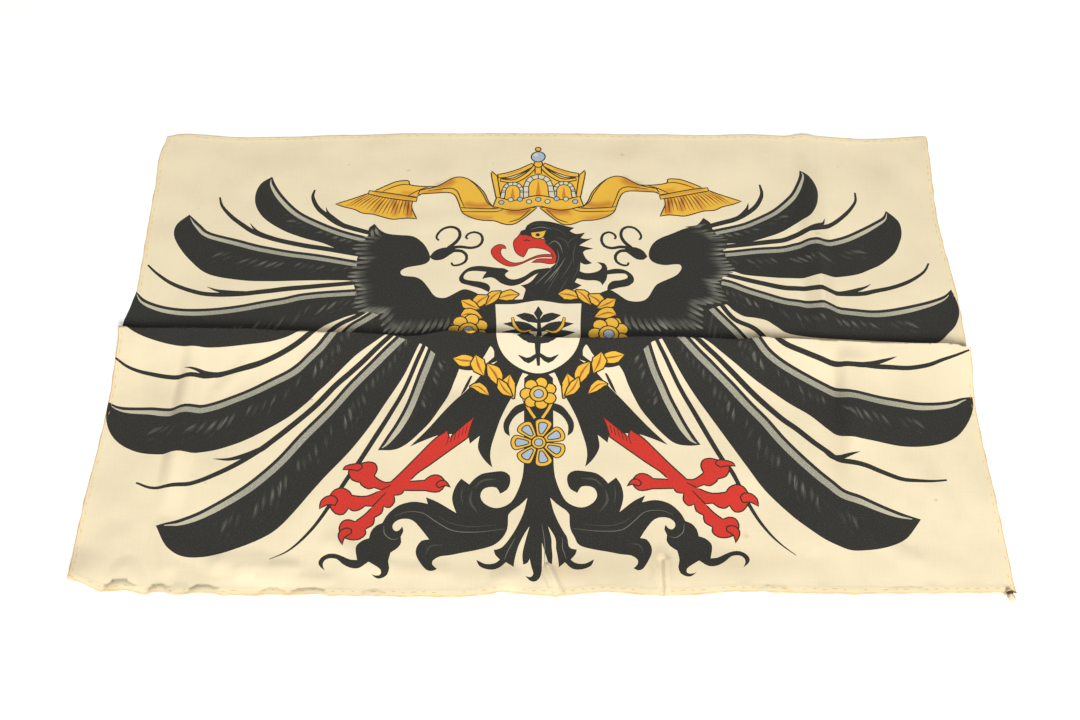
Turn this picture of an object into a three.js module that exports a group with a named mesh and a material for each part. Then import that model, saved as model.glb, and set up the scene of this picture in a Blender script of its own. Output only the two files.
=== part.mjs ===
// A thin printed silk flag, laid out on a table with the folds of long storage still standing in it.
// Millimetres, +Z up. +X runs along the flag's length and +Y from its lower hem to its upper one.
// The origin is on the table, under the middle of everything.
import * as THREE from "three";

// The sheet.
const HALF_LENGTH = 300;
const HALF_DEPTH = 194;
const CLOTH_THICKNESS = 1.0;
const HEM_WIDTH = 5;
const HEM_EXTRA = 0.5;

// The four edges as they lie, as [place along the edge, where the edge is].
const LEFT_EDGE = [[-190, -298], [-160, -301], [-60, -299], [-6, -299.5], [8, -301], [44, -296],
  [140, -299], [170, -301], [194, -298]];
const RIGHT_EDGE = [[-190, 301], [-50, 297.5], [30, 299.5], [110, 295], [194, 298]];
const LOWER_EDGE = [[-300, -190], [-270, -197], [-50, -197], [-20, -194], [10, -196], [40, -193],
  [80, -195], [130, -192], [200, -193], [300, -191]];
const UPPER_EDGE = [[-300, 193], [-285, 196], [-240, 193], [-60, 198], [150, 197], [200, 196],
  [250, 193], [300, 196]];
const EDGE_REACH = 40;         // how far into the sheet an edge's waves are felt

// The fold across the middle: its valley line, then a steep back just in front of it and a long slope.
const FOLD_LINE = [[-300, 8.2], [-284, 6.2], [-213, 5.6], [-142, 3], [-94, 0.9], [-66, 5.6], [-50, 5.7],
  [-37, 3.2], [27, -0.6], [50, -1.6], [70, 0.8], [140, -0.8], [154, 1.4], [171, 0], [236, -2.2],
  [280, -3.5], [300, -6.5]];
const FOLD = { height: 9, back: 3.5, front: 52, sway: 0.08, swayReach: 43 };
// The folds that cross it stand on one side of it only, or change their shape there. Each starts
// "start" from the middle fold, is full "rise" further on, and loses the share "lost" over the
// distance "fade" from "end" on.
const LEFT_RIDGE = { x: -244, height: 5, halfWidth: 11.5, start: 1, rise: 14, end: 100, fade: 55, lost: 1 };
const RIGHT_RIDGE = { x: 201, height: 5.2, halfWidth: 13, start: 0, rise: 26, end: 100, fade: 90, lost: 0.6 };
// In front of the middle fold the right one is a valley with a swell beside it.
const RIGHT_SWELL = { x: 199, height: 7, up: 13, down: 50, start: 0, rise: 20, end: 50, fade: 60, lost: 0.8 };
// The lower left corner curls up off the table.
const CURL = { x: -299, y: -190, reach: 29, height: 10, power: 1.5 };
// Low swellings where the cloth doesn't lie down: [x, y, half-length, half-width, height].
const SWELLS = [
  [-172, -181, 34, 15, 2.2], [-110, 150, 60, 26, 1.4], [-20, -186, 14, 14, 3.0], [79, -180, 9, 24, 2.6],
  [6, -186, 10, 16, 2.2], [120, -110, 46, 30, 1.5], [258, 120, 24, 60, 1.6], [-60, -60, 50, 24, 1.3],
];

// Where the grid of the sheet has its lines, closest together across the folds.
const COLUMNS = [-300, -295, -293, -284, -272, -260, -254, -249, -244, -239, -234, -228, -213, -192, -172,
  -150, -130, -110, -94, -80, -66, -50, -37, -20, 0, 22, 38, 50, 62, 74, 79, 84, 104, 124, 140, 154, 171,
  186, 193, 199, 203, 208, 213, 222, 236, 252, 268, 284, 293, 295, 300];
const ROWS = [-194, -189, -187, -180, -171, -158, -142, -122, -102, -82, -62, -46, -34, -24, -16, -10, -6,
  -3.5, -2.2, -1, 0, 3, 16, 36, 58, 80, 102, 124, 146, 168, 187, 189, 194];
const FOLD_ROWS_REACH = 90;    // how far from the middle fold the rows still follow its line

// The knot of thread at the lower right corner: a ball on the hem and a tuft that hangs over the edge.
const KNOT = { from: [296.2, -190.2, 3.9], to: [297.6, -198.4, 2.1], sides: 14 };
const KNOT_PROFILE = [[0, 0], [1.3, 0.3], [1.7, 1.6], [1.2, 2.9], [0.7, 3.7], [1.3, 5.0], [1.9, 6.7],
  [1.6, 8.0], [0, 8.4]];

const ease = (t) => {
  const s = Math.min(1, Math.max(0, t));
  return s * s * (3 - 2 * s);
};
const hump = (distance, reach) => Math.max(0, 1 - (distance / reach) ** 2) ** 2;
const slopeDown = (t) => (t < 0 || t > 1 ? 0 : (1 - t) ** 2 * (1 + 0.8 * t));

function along(edge, place) {
  const last = edge.length - 1;
  const next = edge.findIndex((point) => point[0] >= place);
  if (next === 0) return edge[0][1];
  if (next < 0) return edge[last][1];
  const [a, b] = [edge[next - 1], edge[next]];
  return a[1] + (b[1] - a[1]) * ease((place - a[0]) / (b[0] - a[0]));
}

const foldLine = (x) => along(FOLD_LINE, x);

function middleFold(x, y) {
  const inFront = foldLine(x) - y;
  const height = FOLD.height * (1 + FOLD.sway * Math.sin(x / FOLD.swayReach));
  if (inFront < FOLD.back) return height * ease(inFront / FOLD.back);
  return height * slopeDown((inFront - FOLD.back) / FOLD.front);
}

// The height of a cross fold's spine at a distance from the middle fold.
const spine = (fold, distance) => fold.height * ease((distance - fold.start) / fold.rise)
  * (1 - fold.lost * ease((distance - fold.end) / fold.fade));

function rightFold(x, y) {
  const behind = y - foldLine(x);
  if (behind > 0) return spine(RIGHT_RIDGE, behind) * hump(x - RIGHT_RIDGE.x, RIGHT_RIDGE.halfWidth);
  const past = x - RIGHT_SWELL.x;
  const shape = past < RIGHT_SWELL.up ? ease(past / RIGHT_SWELL.up)
    : slopeDown((past - RIGHT_SWELL.up) / RIGHT_SWELL.down);
  return spine(RIGHT_SWELL, -behind) * shape;
}

const leftFold = (x, y) => spine(LEFT_RIDGE, foldLine(x) - y)
  * hump(x - LEFT_RIDGE.x, LEFT_RIDGE.halfWidth);
const curl = (x, y) => CURL.height
  * Math.max(0, 1 - Math.hypot(x - CURL.x, y - CURL.y) / CURL.reach) ** CURL.power;
const swells = (x, y) => SWELLS.reduce(
  (sum, [cx, cy, rx, ry, height]) => sum + height * hump(Math.hypot((x - cx) / rx, (y - cy) / ry), 1), 0);

// Height of the sheet's underside. Ridges that cross blend as the sides of a right triangle do.
const underside = (x, y) => Math.hypot(middleFold(x, y), leftFold(x, y), rightFold(x, y),
  curl(x, y), swells(x, y));

function place(column, row) {
  const shiftX = column < 0
    ? (along(LEFT_EDGE, row) + HALF_LENGTH) * ease((EDGE_REACH - column - HALF_LENGTH) / EDGE_REACH)
    : (along(RIGHT_EDGE, row) - HALF_LENGTH) * ease((EDGE_REACH + column - HALF_LENGTH) / EDGE_REACH);
  const x = column + shiftX;
  const shiftY = row < 0
    ? (along(LOWER_EDGE, column) + HALF_DEPTH) * ease((EDGE_REACH - row - HALF_DEPTH) / EDGE_REACH)
    : (along(UPPER_EDGE, column) - HALF_DEPTH) * ease((EDGE_REACH + row - HALF_DEPTH) / EDGE_REACH);
  const y = row + shiftY + foldLine(x) * (1 - ease(Math.abs(row) / FOLD_ROWS_REACH));
  return new THREE.Vector3(x, y, underside(x, y));
}

function gridTriangles(columns, rows) {
  const triangles = [];
  for (let j = 0; j < rows - 1; j += 1) {
    for (let i = 0; i < columns - 1; i += 1) {
      const a = j * columns + i;
      const [b, c, d] = [a + 1, a + columns + 1, a + columns];
      triangles.push(a, b, c, a, c, d);
    }
  }
  return triangles;
}

// The ring of grid points round the edge, anticlockwise seen from above.
function rimOf(columns, rows) {
  const ring = [];
  for (let i = 0; i < columns - 1; i += 1) ring.push(i);
  for (let j = 0; j < rows - 1; j += 1) ring.push(j * columns + columns - 1);
  for (let i = columns - 1; i > 0; i -= 1) ring.push((rows - 1) * columns + i);
  for (let j = rows - 1; j > 0; j -= 1) ring.push(j * columns);
  return ring;
}

function clothGeometry() {
  const [columns, rows] = [COLUMNS.length, ROWS.length];
  const points = ROWS.flatMap((row) => COLUMNS.map((column) => place(column, row)));
  const upward = gridTriangles(columns, rows);
  const sheet = new THREE.BufferGeometry().setFromPoints(points);
  sheet.setIndex(upward);
  sheet.computeVertexNormals();
  const normals = sheet.getAttribute("normal");
  const top = points.map((point, k) => {
    const [i, j] = [k % columns, Math.floor(k / columns)];
    const inFromEdge = Math.min(COLUMNS[i] + HALF_LENGTH, HALF_LENGTH - COLUMNS[i],
      ROWS[j] + HALF_DEPTH, HALF_DEPTH - ROWS[j]);
    const thickness = CLOTH_THICKNESS + (inFromEdge <= HEM_WIDTH ? HEM_EXTRA : 0);
    return new THREE.Vector3().fromBufferAttribute(normals, k).multiplyScalar(thickness).add(point);
  });
  const count = points.length;
  const triangles = upward.map((k) => k + count);
  for (let k = 0; k < upward.length; k += 3) triangles.push(upward[k], upward[k + 2], upward[k + 1]);
  const ring = rimOf(columns, rows);
  ring.forEach((a, k) => {
    const b = ring[(k + 1) % ring.length];
    triangles.push(a, b, b + count, a, b + count, a + count);
  });
  const geometry = new THREE.BufferGeometry().setFromPoints([...points, ...top]);
  geometry.setIndex(triangles);
  return geometry;
}

function knotGeometry() {
  const profile = KNOT_PROFILE.map(([radius, length]) => new THREE.Vector2(radius, length));
  const geometry = new THREE.LatheGeometry(profile, KNOT.sides);
  const start = new THREE.Vector3(...KNOT.from);
  const direction = new THREE.Vector3(...KNOT.to).sub(start).normalize();
  const turn = new THREE.Quaternion().setFromUnitVectors(new THREE.Vector3(0, 1, 0), direction);
  return geometry.applyQuaternion(turn).translate(start.x, start.y, start.z);
}

function piece(name, geometry, color, roughness) {
  const mesh = new THREE.Mesh(geometry, new THREE.MeshStandardMaterial({ color, roughness, metalness: 0 }));
  mesh.name = name;
  return mesh;
}

const flag = new THREE.Group();
flag.add(piece("flag_cloth", clothGeometry(), 0xeedfbb, 0.85));
flag.add(piece("corner_knot", knotGeometry(), 0xd8bf8e, 0.9));

// Centre the whole thing over the origin.
const middle = new THREE.Box3().setFromObject(flag).getCenter(new THREE.Vector3());
flag.position.set(-middle.x, -middle.y, 0);

export default flag;
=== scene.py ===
import math

import bpy
import numpy as np
from mathutils import Matrix, Vector
from mathutils.geometry import delaunay_2d_cdt


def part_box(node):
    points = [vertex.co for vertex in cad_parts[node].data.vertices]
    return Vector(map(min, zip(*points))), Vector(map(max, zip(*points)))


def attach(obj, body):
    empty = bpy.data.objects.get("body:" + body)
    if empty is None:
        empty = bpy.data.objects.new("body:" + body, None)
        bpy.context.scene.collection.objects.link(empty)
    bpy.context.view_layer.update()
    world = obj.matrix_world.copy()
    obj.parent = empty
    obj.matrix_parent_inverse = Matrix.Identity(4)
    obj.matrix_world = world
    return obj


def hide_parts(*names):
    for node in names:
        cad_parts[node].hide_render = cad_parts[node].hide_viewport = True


# An old printed silk flag, spread out flat on a white table. It was folded in four for years, so a
# ridge still crosses its middle and two more stand across it, and one corner curls up. The cloth is
# one closed mesh, cut along every outline of its print. Its hem is sewn in ochre thread, and a
# thread knot holds the right front corner.
# All sizes are in millimetres until a mesh is made. The cloth has two maps: "plan" is where a point
# lies over the table, and "flat" is where it was before the cloth was creased.

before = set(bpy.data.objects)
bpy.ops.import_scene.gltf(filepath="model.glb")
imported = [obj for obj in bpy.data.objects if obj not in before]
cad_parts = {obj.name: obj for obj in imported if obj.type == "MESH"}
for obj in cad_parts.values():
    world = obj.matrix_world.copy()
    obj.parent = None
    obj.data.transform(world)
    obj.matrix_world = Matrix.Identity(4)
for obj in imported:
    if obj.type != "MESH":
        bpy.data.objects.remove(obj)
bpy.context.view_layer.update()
MM = 0.001
SEED = 7

# ---------------------------------------------------------------- the drape, as the CAD cloth has it

# Each edge of the cloth as (place along the edge, where the edge is there).
LEFT_EDGE = [(-190, -298), (-160, -301), (-60, -299), (-6, -299.5), (8, -301), (44, -296), (140, -299),
             (170, -301), (194, -298)]
RIGHT_EDGE = [(-190, 301), (-50, 297.5), (30, 299.5), (110, 295), (194, 298)]
LOWER_EDGE = [(-300, -190), (-270, -197), (-50, -197), (-20, -194), (10, -196), (40, -193), (80, -195),
              (130, -192), (200, -193), (300, -191)]
UPPER_EDGE = [(-300, 193), (-285, 196), (-240, 193), (-60, 198), (150, 197), (200, 196), (250, 193),
              (300, 196)]
# The ridge left across the middle: it rises in "back" and falls away towards the front in "front".
FOLD_LINE = [(-300, 8.2), (-284, 6.2), (-213, 5.6), (-142, 3), (-94, 0.9), (-66, 5.6), (-50, 5.7),
    (-37, 3.2), (27, -0.6), (50, -1.6), (70, 0.8), (140, -0.8), (154, 1.4), (171, 0), (236, -2.2),
    (280, -3.5), (300, -6.5)]
FOLD_HEIGHT, FOLD_BACK, FOLD_FRONT = 9.0, 3.5, 52.0
FOLD_SWAY, FOLD_SWAY_REACH = 0.08, 43.0
# The creases that cross it, each on one side of it only: height, then how far from the middle ridge
# it starts, how soon it is full, where it starts to go, over how far, and what share of it goes.
LEFT_RIDGE_X, LEFT_RIDGE_HALF, LEFT_RIDGE = -244.0, 11.5, (5.0, 1, 14, 100, 55, 1.0)
RIGHT_RIDGE_X, RIGHT_RIDGE_HALF, RIGHT_RIDGE = 201.0, 13.0, (5.2, 0, 26, 100, 90, 0.6)
SWELL_X, SWELL_UP, SWELL_DOWN, RIGHT_SWELL = 199.0, 13.0, 50.0, (7.0, 0, 20, 50, 60, 0.8)
CURL_X, CURL_Y, CURL_REACH, CURL_HEIGHT, CURL_POWER = -299.0, -190.0, 29.0, 10.0, 1.5
# Low swells of the cloth off the table: x, y, half-lengths along x and y, height.
SWELLS = [(-172, -181, 34, 15, 2.2), (-110, 150, 60, 26, 1.4), (-20, -186, 14, 14, 3.0),
          (79, -180, 9, 24, 2.6), (6, -186, 10, 16, 2.2), (120, -110, 46, 30, 1.5), (258, 120, 24, 60, 1.6),
          (-60, -60, 50, 24, 1.3)]

# ---------------------------------------------------------------- what the CAD cloth leaves out

# Places where the hem bulges and the cloth drops sharply behind it: x, half-length, depth, height.
PUCKERS = [(-265, 11.5, 8.6, 4.0), (-240, 7.6, 7.0, 3.4), (-212, 11, 6.6, 3.2), (-228, 8.0, 9.0, 0.8),
           (-145, 13, 5.2, 2.0), (-168, 9.0, 5.4, 1.5), (-104, 9.0, 4.5, 1.0), (150, 12.0, 5.0, 0.7),
           (232, 16.0, 5.0, 0.6)]
# Short soft creases: from, to, half-width, height (a dip is below zero).
CREASES = [((3, -176), (12, -197), 1.6, -1.6), ((6, -176), (15, -197), 2.2, 1.8), ((78.5, -172),
    (78.5, -196), 1.5, -1.8), ((82, -172), (82, -196), 2.2, 1.0), ((-272, -160), (-264, -184), 9, 1.6),
    ((-271, -150), (-265, -178), 14, 0.8), ((-264, -182), (-258, -192), 6.0, 1.6), ((-232, -162),
    (-208, -176), 5.0, 1.1), ((-204, -176), (-180, -172), 5.0, 0.9), ((-190, -182), (-158, -179), 4.0, 0.9),
    ((-176, -188), (-134, -186), 3.2, 0.7), ((-244, -150), (-238, -178), 5.0, 1.3), ((-134, -160),
    (-100, -176), 5.0, 1.0), ((-90, 108), (-30, 112), 7.0, 0.8), ((-104, 60), (-98, 20), 6.0, 0.6),
    ((60, 120), (130, 114), 8.0, 0.8), ((201, 30), (203, 92), 2.0, 0.9), ((-160, -20), (-158, -42), 5.0,
    1.2), ((-88, -16), (-84, -46), 6.0, 1.1), ((118, -22), (121, -52), 6.0, 0.9), ((36, -30), (38, -50), 6.0,
    0.8), ((242, -18), (246, -50), 7.0, 1.0), ((168, -132), (176, -160), 5.0, 0.9), ((236, -170),
    (262, -174), 7.0, 0.6), ((212, -150), (240, -170), 5.0, 0.8), ((-206, -22), (-222, -44), 4.0, 0.9),
    ((-270, -18), (-262, -60), 6.0, 0.8), ((-120, -176), (-60, -180), 4.0, 0.8), ((250, -100), (270, -140),
    7.0, 0.8)]
# The faint unevenness that every cloth keeps: number of waves, shortest, longest, greatest height.
RIPPLES, RIPPLE_SHORT, RIPPLE_LONG, RIPPLE_HEIGHT = 26, 22.0, 90.0, 0.5
LIE_HEIGHT = 0.5          # how high the ripples lift the cloth on the whole
TABLE_EASE = 0.3          # how softly it comes down onto the table

CLOTH_THICKNESS = 0.45
HEM_WIDTH, HEM_THICKNESS = 3.6, 0.68
HEM_STEP = 2.4            # over which the hem's fold ends on the single cloth
EDGE_ROUND = 0.8          # radius of the folded edge of the hem
EDGE_SHARE = 0.25         # of the hem's thickness that is left at its very edge
EDGE_WAVE, EDGE_WAVE_REACH, EDGE_SWAY_REACH = 0.35, 3.1, 17.3


def ease(t):
    s = np.clip(t, 0, 1)
    return s * s * (3 - 2 * s)


def hump(distance, reach):
    return np.maximum(0, 1 - (distance / reach) ** 2) ** 2


def slope_down(t):
    return np.where((t < 0) | (t > 1), 0, (1 - t) ** 2 * (1 + 0.8 * t))


def along(edge, place):
    """Where an edge lies at a place, eased from each of its points to the next."""
    places, values = np.array(edge, float).T
    place = np.clip(place, places[0], places[-1])
    k = np.clip(np.searchsorted(places, place, side="right") - 1, 0, len(places) - 2)
    share = ease((place - places[k]) / (places[k + 1] - places[k]))
    return values[k] + (values[k + 1] - values[k]) * share


def fold_line(x):
    return along(FOLD_LINE, x)


def middle_fold(x, y):
    forward = fold_line(x) - y
    height = FOLD_HEIGHT * (1 + FOLD_SWAY * np.sin(x / FOLD_SWAY_REACH))
    return height * np.where(forward < FOLD_BACK, ease(forward / FOLD_BACK),
                             slope_down((forward - FOLD_BACK) / FOLD_FRONT))


def spine(crease, distance):
    """The height of a cross crease at a distance from the middle ridge."""
    height, start, rise, end, fade, lost = crease
    return height * ease((distance - start) / rise) * (1 - lost * ease((distance - end) / fade))


def left_ridge(x, y):
    return spine(LEFT_RIDGE, fold_line(x) - y) * hump(x - LEFT_RIDGE_X, LEFT_RIDGE_HALF)


def right_ridge(x, y):
    """A ridge behind the middle one, and a valley with a swell beside it in front."""
    behind = y - fold_line(x)
    past = x - SWELL_X
    swell = np.where(past < SWELL_UP, ease(past / SWELL_UP), slope_down((past - SWELL_UP) / SWELL_DOWN))
    return np.where(behind > 0, spine(RIGHT_RIDGE, behind) * hump(x - RIGHT_RIDGE_X, RIGHT_RIDGE_HALF),
                    spine(RIGHT_SWELL, -behind) * swell)


def corner_curl(x, y):
    return CURL_HEIGHT * np.maximum(0, 1 - np.hypot(x - CURL_X, y - CURL_Y) / CURL_REACH) ** CURL_POWER


def swells(x, y):
    return sum(height * hump(np.hypot((x - cx) / rx, (y - cy) / ry), 1)
               for cx, cy, rx, ry, height in SWELLS)


def distance_to(start, end, x, y):
    """The distance of points from a straight stretch."""
    (x0, y0), (x1, y1) = start, end
    share = np.clip(((x - x0) * (x1 - x0) + (y - y0) * (y1 - y0))
                    / ((x1 - x0) ** 2 + (y1 - y0) ** 2), 0, 1)
    return np.hypot(x - x0 - share * (x1 - x0), y - y0 - share * (y1 - y0))


def creases(x, y):
    total = sum(height * hump(distance_to(start, end, x, y), 2 * half)
                for start, end, half, height in CREASES)
    hem = along(LOWER_EDGE, x)
    for cx, half, depth, height in PUCKERS:
        away = np.hypot((x - cx) / half, (y - hem) / depth)
        total = total + height * np.maximum(0, 1 - away ** 3)
    return total


def ripples(x, y):
    """Low waves in all directions, the same on each run."""
    dice = np.random.default_rng(SEED)
    total = 0
    for _ in range(RIPPLES):
        turn, phase = dice.uniform(0, 2 * np.pi, 2)
        length = dice.uniform(RIPPLE_SHORT, RIPPLE_LONG)
        total = total + np.sin((x * math.cos(turn) + y * math.sin(turn)) * 2 * np.pi / length + phase) \
            * length / RIPPLE_LONG
    return RIPPLE_HEIGHT * total / math.sqrt(RIPPLES / 2)


def underside(x, y):
    """The height of the cloth's underside over the table."""
    parts = middle_fold(x, y), left_ridge(x, y), right_ridge(x, y), corner_curl(x, y), swells(x, y)
    height = np.sqrt(sum(part ** 2 for part in parts)) + creases(x, y) + ripples(x, y) + LIE_HEIGHT
    # A soft floor: the cloth eases down onto the table and never dips under it.
    return 0.5 * (height + np.sqrt(height ** 2 + TABLE_EASE))


def edge_distance(x, y):
    """How far a point is from the nearest edge of the cloth."""
    return np.minimum.reduce([x - along(LEFT_EDGE, y), along(RIGHT_EDGE, y) - x,
                              y - along(LOWER_EDGE, x), along(UPPER_EDGE, x) - y])


def thickness(x, y):
    """One layer of cloth, and a flat band of several where the hem is turned in."""
    edge = np.maximum(edge_distance(x, y), 0)
    band = 1 - ease((edge - HEM_WIDTH) / HEM_STEP)
    rounding = np.sqrt(1 - (1 - np.minimum(edge / EDGE_ROUND, 1)) ** 2)
    full = CLOTH_THICKNESS + (HEM_THICKNESS - CLOTH_THICKNESS) * band
    return full * (EDGE_SHARE + (1 - EDGE_SHARE) * rounding)


# The cloth runs up and over the middle ridge, so it is longer there than the table it covers. These
# two runs tie the distance in front of the fold line over the table to that along the cloth.
PLAN_RUN = np.linspace(0, 260, 1041)
RISE_RUN = FOLD_HEIGHT * np.where(PLAN_RUN < FOLD_BACK, ease(PLAN_RUN / FOLD_BACK),
                                  slope_down((PLAN_RUN - FOLD_BACK) / FOLD_FRONT))
CLOTH_RUN = np.concatenate([[0], np.cumsum(np.hypot(np.diff(PLAN_RUN), np.diff(RISE_RUN)))])


def past_fold(points, run, other_run):
    """Points in front of the fold line, moved from their place on one run to that on the other."""
    line = fold_line(points[:, 0])
    forward = np.interp(line - points[:, 1], run, other_run)
    return np.stack([points[:, 0], np.where(points[:, 1] < line, line - forward, points[:, 1])], 1)


def flat_to_plan(flat):
    return past_fold(flat, CLOTH_RUN, PLAN_RUN)


def plan_to_flat(plan):
    return past_fold(plan, PLAN_RUN, CLOTH_RUN)


# ---------------------------------------------------------------- the printed spread bird
# All of it is on the flat cloth, from the middle of the spread bird, +x right and +y up. What both
# sides share is drawn once, for the right half, and mirrored.

PRINT_TURN = math.radians(0.9)      # how the print sits on the cloth
PRINT_X, PRINT_Y = -2.5, 4.0
CURVE_STEP = 3.0                    # the longest side of a drawn curve
OUTLINE = 1.0                       # the dark outline round red and gold
EDGE_LINE = 2.4                     # the black left above a feather's grey band
BAND_WIDTHS = [3.2, 3.4, 3.6, 4.2, 4.6, 4.2]   # of the grey bands, from the top feather down
BRIGHT_LIGHT = 0.28                 # a highlight stronger than this is drawn in the paler ink


def smooth(run):
    """A round curve through a short run of points, cut into steps fit for its bends."""
    points = np.array(run, float)
    if len(points) == 2:
        return points
    ends = np.vstack([2 * points[0] - points[1], points, 2 * points[-1] - points[-2]])
    pieces = []
    for k in range(1, len(ends) - 2):
        before, a, b, after = ends[k - 1:k + 3]
        steps = max(2, int(np.ceil(np.hypot(*(b - a)) / CURVE_STEP)))
        t = (np.arange(steps) / steps)[:, None]
        pieces.append(0.5 * (2 * a + (b - before) * t + (2 * before - 5 * a + 4 * b - after) * t ** 2
                             + (3 * a - before - 3 * b + after) * t ** 3))
    return np.vstack(pieces + [points[-1:]])


def outline(*runs):
    """A closed outline of smooth runs that meet in corners. Each run starts where the last one ended."""
    start, rings = runs[-1][-1], []
    for run in runs:
        rings.append(smooth([start] + list(run))[1:])
        start = run[-1]
    return np.vstack(rings)


def normals_of(line):
    along = np.gradient(line, axis=0)
    along /= np.maximum(np.hypot(along[:, 0], along[:, 1]), 1e-6)[:, None]
    return np.stack([-along[:, 1], along[:, 0]], 1)


def ribbon(line, half_widths):
    """The outline of a line drawn with a brush whose half-width changes along it."""
    side = normals_of(line) * np.asarray(half_widths, float)[:, None]
    return np.vstack([line + side, (line - side)[::-1]])


def blade(points, widths):
    """A tapered brush line through some points, with its width at each of them."""
    line = smooth(points)
    places = np.linspace(0, 1, len(line))
    return ribbon(line, np.interp(places, np.linspace(0, 1, len(widths)), widths) / 2)


def disc(x, y, radius, sides=20):
    angles = np.linspace(0, 2 * np.pi, sides, endpoint=False)
    return np.stack([x + radius * np.cos(angles), y + radius * np.sin(angles)], 1)


def grown(ring, amount):
    """An outline moved out by an amount, or in by a negative one."""
    before, after = np.roll(ring, 1, 0), np.roll(ring, -1, 0)
    along = after - before
    along /= np.maximum(np.hypot(along[:, 0], along[:, 1]), 1e-6)[:, None]
    x, y = ring.T
    turn = np.sign(np.sum(x * np.roll(y, -1) - np.roll(x, -1) * y))
    return ring + amount * turn * np.stack([along[:, 1], -along[:, 0]], 1)


class Print:
    """The layers of ink, first one lowest, and the soft brush marks on them.

    A layer can have a guide: the two borders that its brush strokes run between, and their kind."""

    def __init__(self):
        self.layers = []
        self.marks = []

    def ink(self, name, ring, guide=None):
        self.layers.append((name, np.asarray(ring, float), guide))

    def outlined(self, name, ring, line=OUTLINE):
        self.ink("line", grown(ring, line / 2))
        self.ink(name, grown(ring, -line / 2))

    def light(self, points, width, strength):
        """A thin tapered highlight on black: pale where it is strong."""
        name = "pale_light" if strength > BRIGHT_LIGHT else "dim_light"
        self.ink(name, blade(points, [0.15, width, width, 0.15]))

    def brushed(self, points, width, strength):
        """A soft brush line."""
        line = smooth(points)
        self.marks += [(*a, *b, width, strength) for a, b in zip(line[:-1], line[1:])]


class Half:
    """Draws on one side of the print: side is 1 for the right and -1 for the left."""

    def __init__(self, target, side):
        self.target = target
        self.side = side

    def put(self, points):
        """Where points drawn for the right half go."""
        return np.asarray(points, float) * (self.side, 1)

    def ink(self, name, ring, guide=None):
        if guide:
            kind, *borders = guide
            guide = (kind, *(self.put(border) for border in borders))
        self.target.ink(name, self.put(ring), guide)

    def outlined(self, name, ring, line=OUTLINE):
        self.target.outlined(name, self.put(ring), line)

    def lights(self, *runs):
        for points, width, strength in runs:
            self.target.light(self.put(points), width, strength)

    def brushed(self, points, width, strength):
        self.target.brushed(self.put(points), width, strength)


# The six flight feathers, from the top one down: the edge that faces up, from tip to root, then the
# edge that faces down, from root to tip. The painter's two wings differ.
LEFT_FEATHERS = [
    ([(201, 142), (193, 130), (181, 117), (166, 107), (146, 97), (118, 88)], [(118, 74), (146, 79),
     (161, 86), (176, 91), (191, 98), (206, 109), (214, 121), (216, 133), (213, 144), (205, 151)]),
    ([(254, 104), (246, 97), (224, 90), (206, 84), (186, 79), (161, 75), (120, 66)], [(120, 50), (142, 51),
     (167, 51), (197, 50), (220, 52), (243, 58), (258, 71), (268, 84), (273, 95), (272, 105), (264, 114)]),
    ([(284, 34), (267, 28), (245, 26), (217, 29), (187, 35), (167, 40), (120, 44)], [(120, 26), (139, 17.6),
     (153.3, 9.8), (161, 2), (171, -8), (186, -14), (206, -17), (231, -19), (255, -17), (280, -9), (294, 1),
     (300, 14), (299, 30), (293, 42)]),
    ([(288, -64), (268, -65), (253, -66), (228, -62), (208, -54), (188, -43), (172, -34), (158, -20),
     (147, -5), (136.7, 9.8), (127.2, 17.6), (118, 25)], [(100, 0), (130, -28), (148, -48), (168, -71),
     (189, -86), (209, -96), (229, -101), (261, -102), (277, -98), (289, -89), (296, -76), (298, -60)]),
    ([(235, -151), (220, -144), (199, -129), (179, -109), (164, -89), (149, -70), (135, -50), (126.5, -40),
     (117, -30), (108, -20), (96, -7)], [(78, 0), (84.7, -20), (93, -40), (104, -60), (114.5, -80),
     (127, -100), (142, -120), (149, -130), (168, -156), (182, -167), (200, -175), (215, -179), (230, -178),
     (241, -171), (250, -156)]),
    ([(103.5, -90), (98, -80), (93.5, -70), (90, -60), (87, -50), (84, -40), (80.7, -30), (77.5, -20),
     (74, -6)], [(50, 0), (54, -30), (59, -47), (63, -59), (68, -69), (74, -79), (80, -86), (87, -93.5),
     (93, -98), (99, -100), (108.5, -100)]),
]
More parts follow.
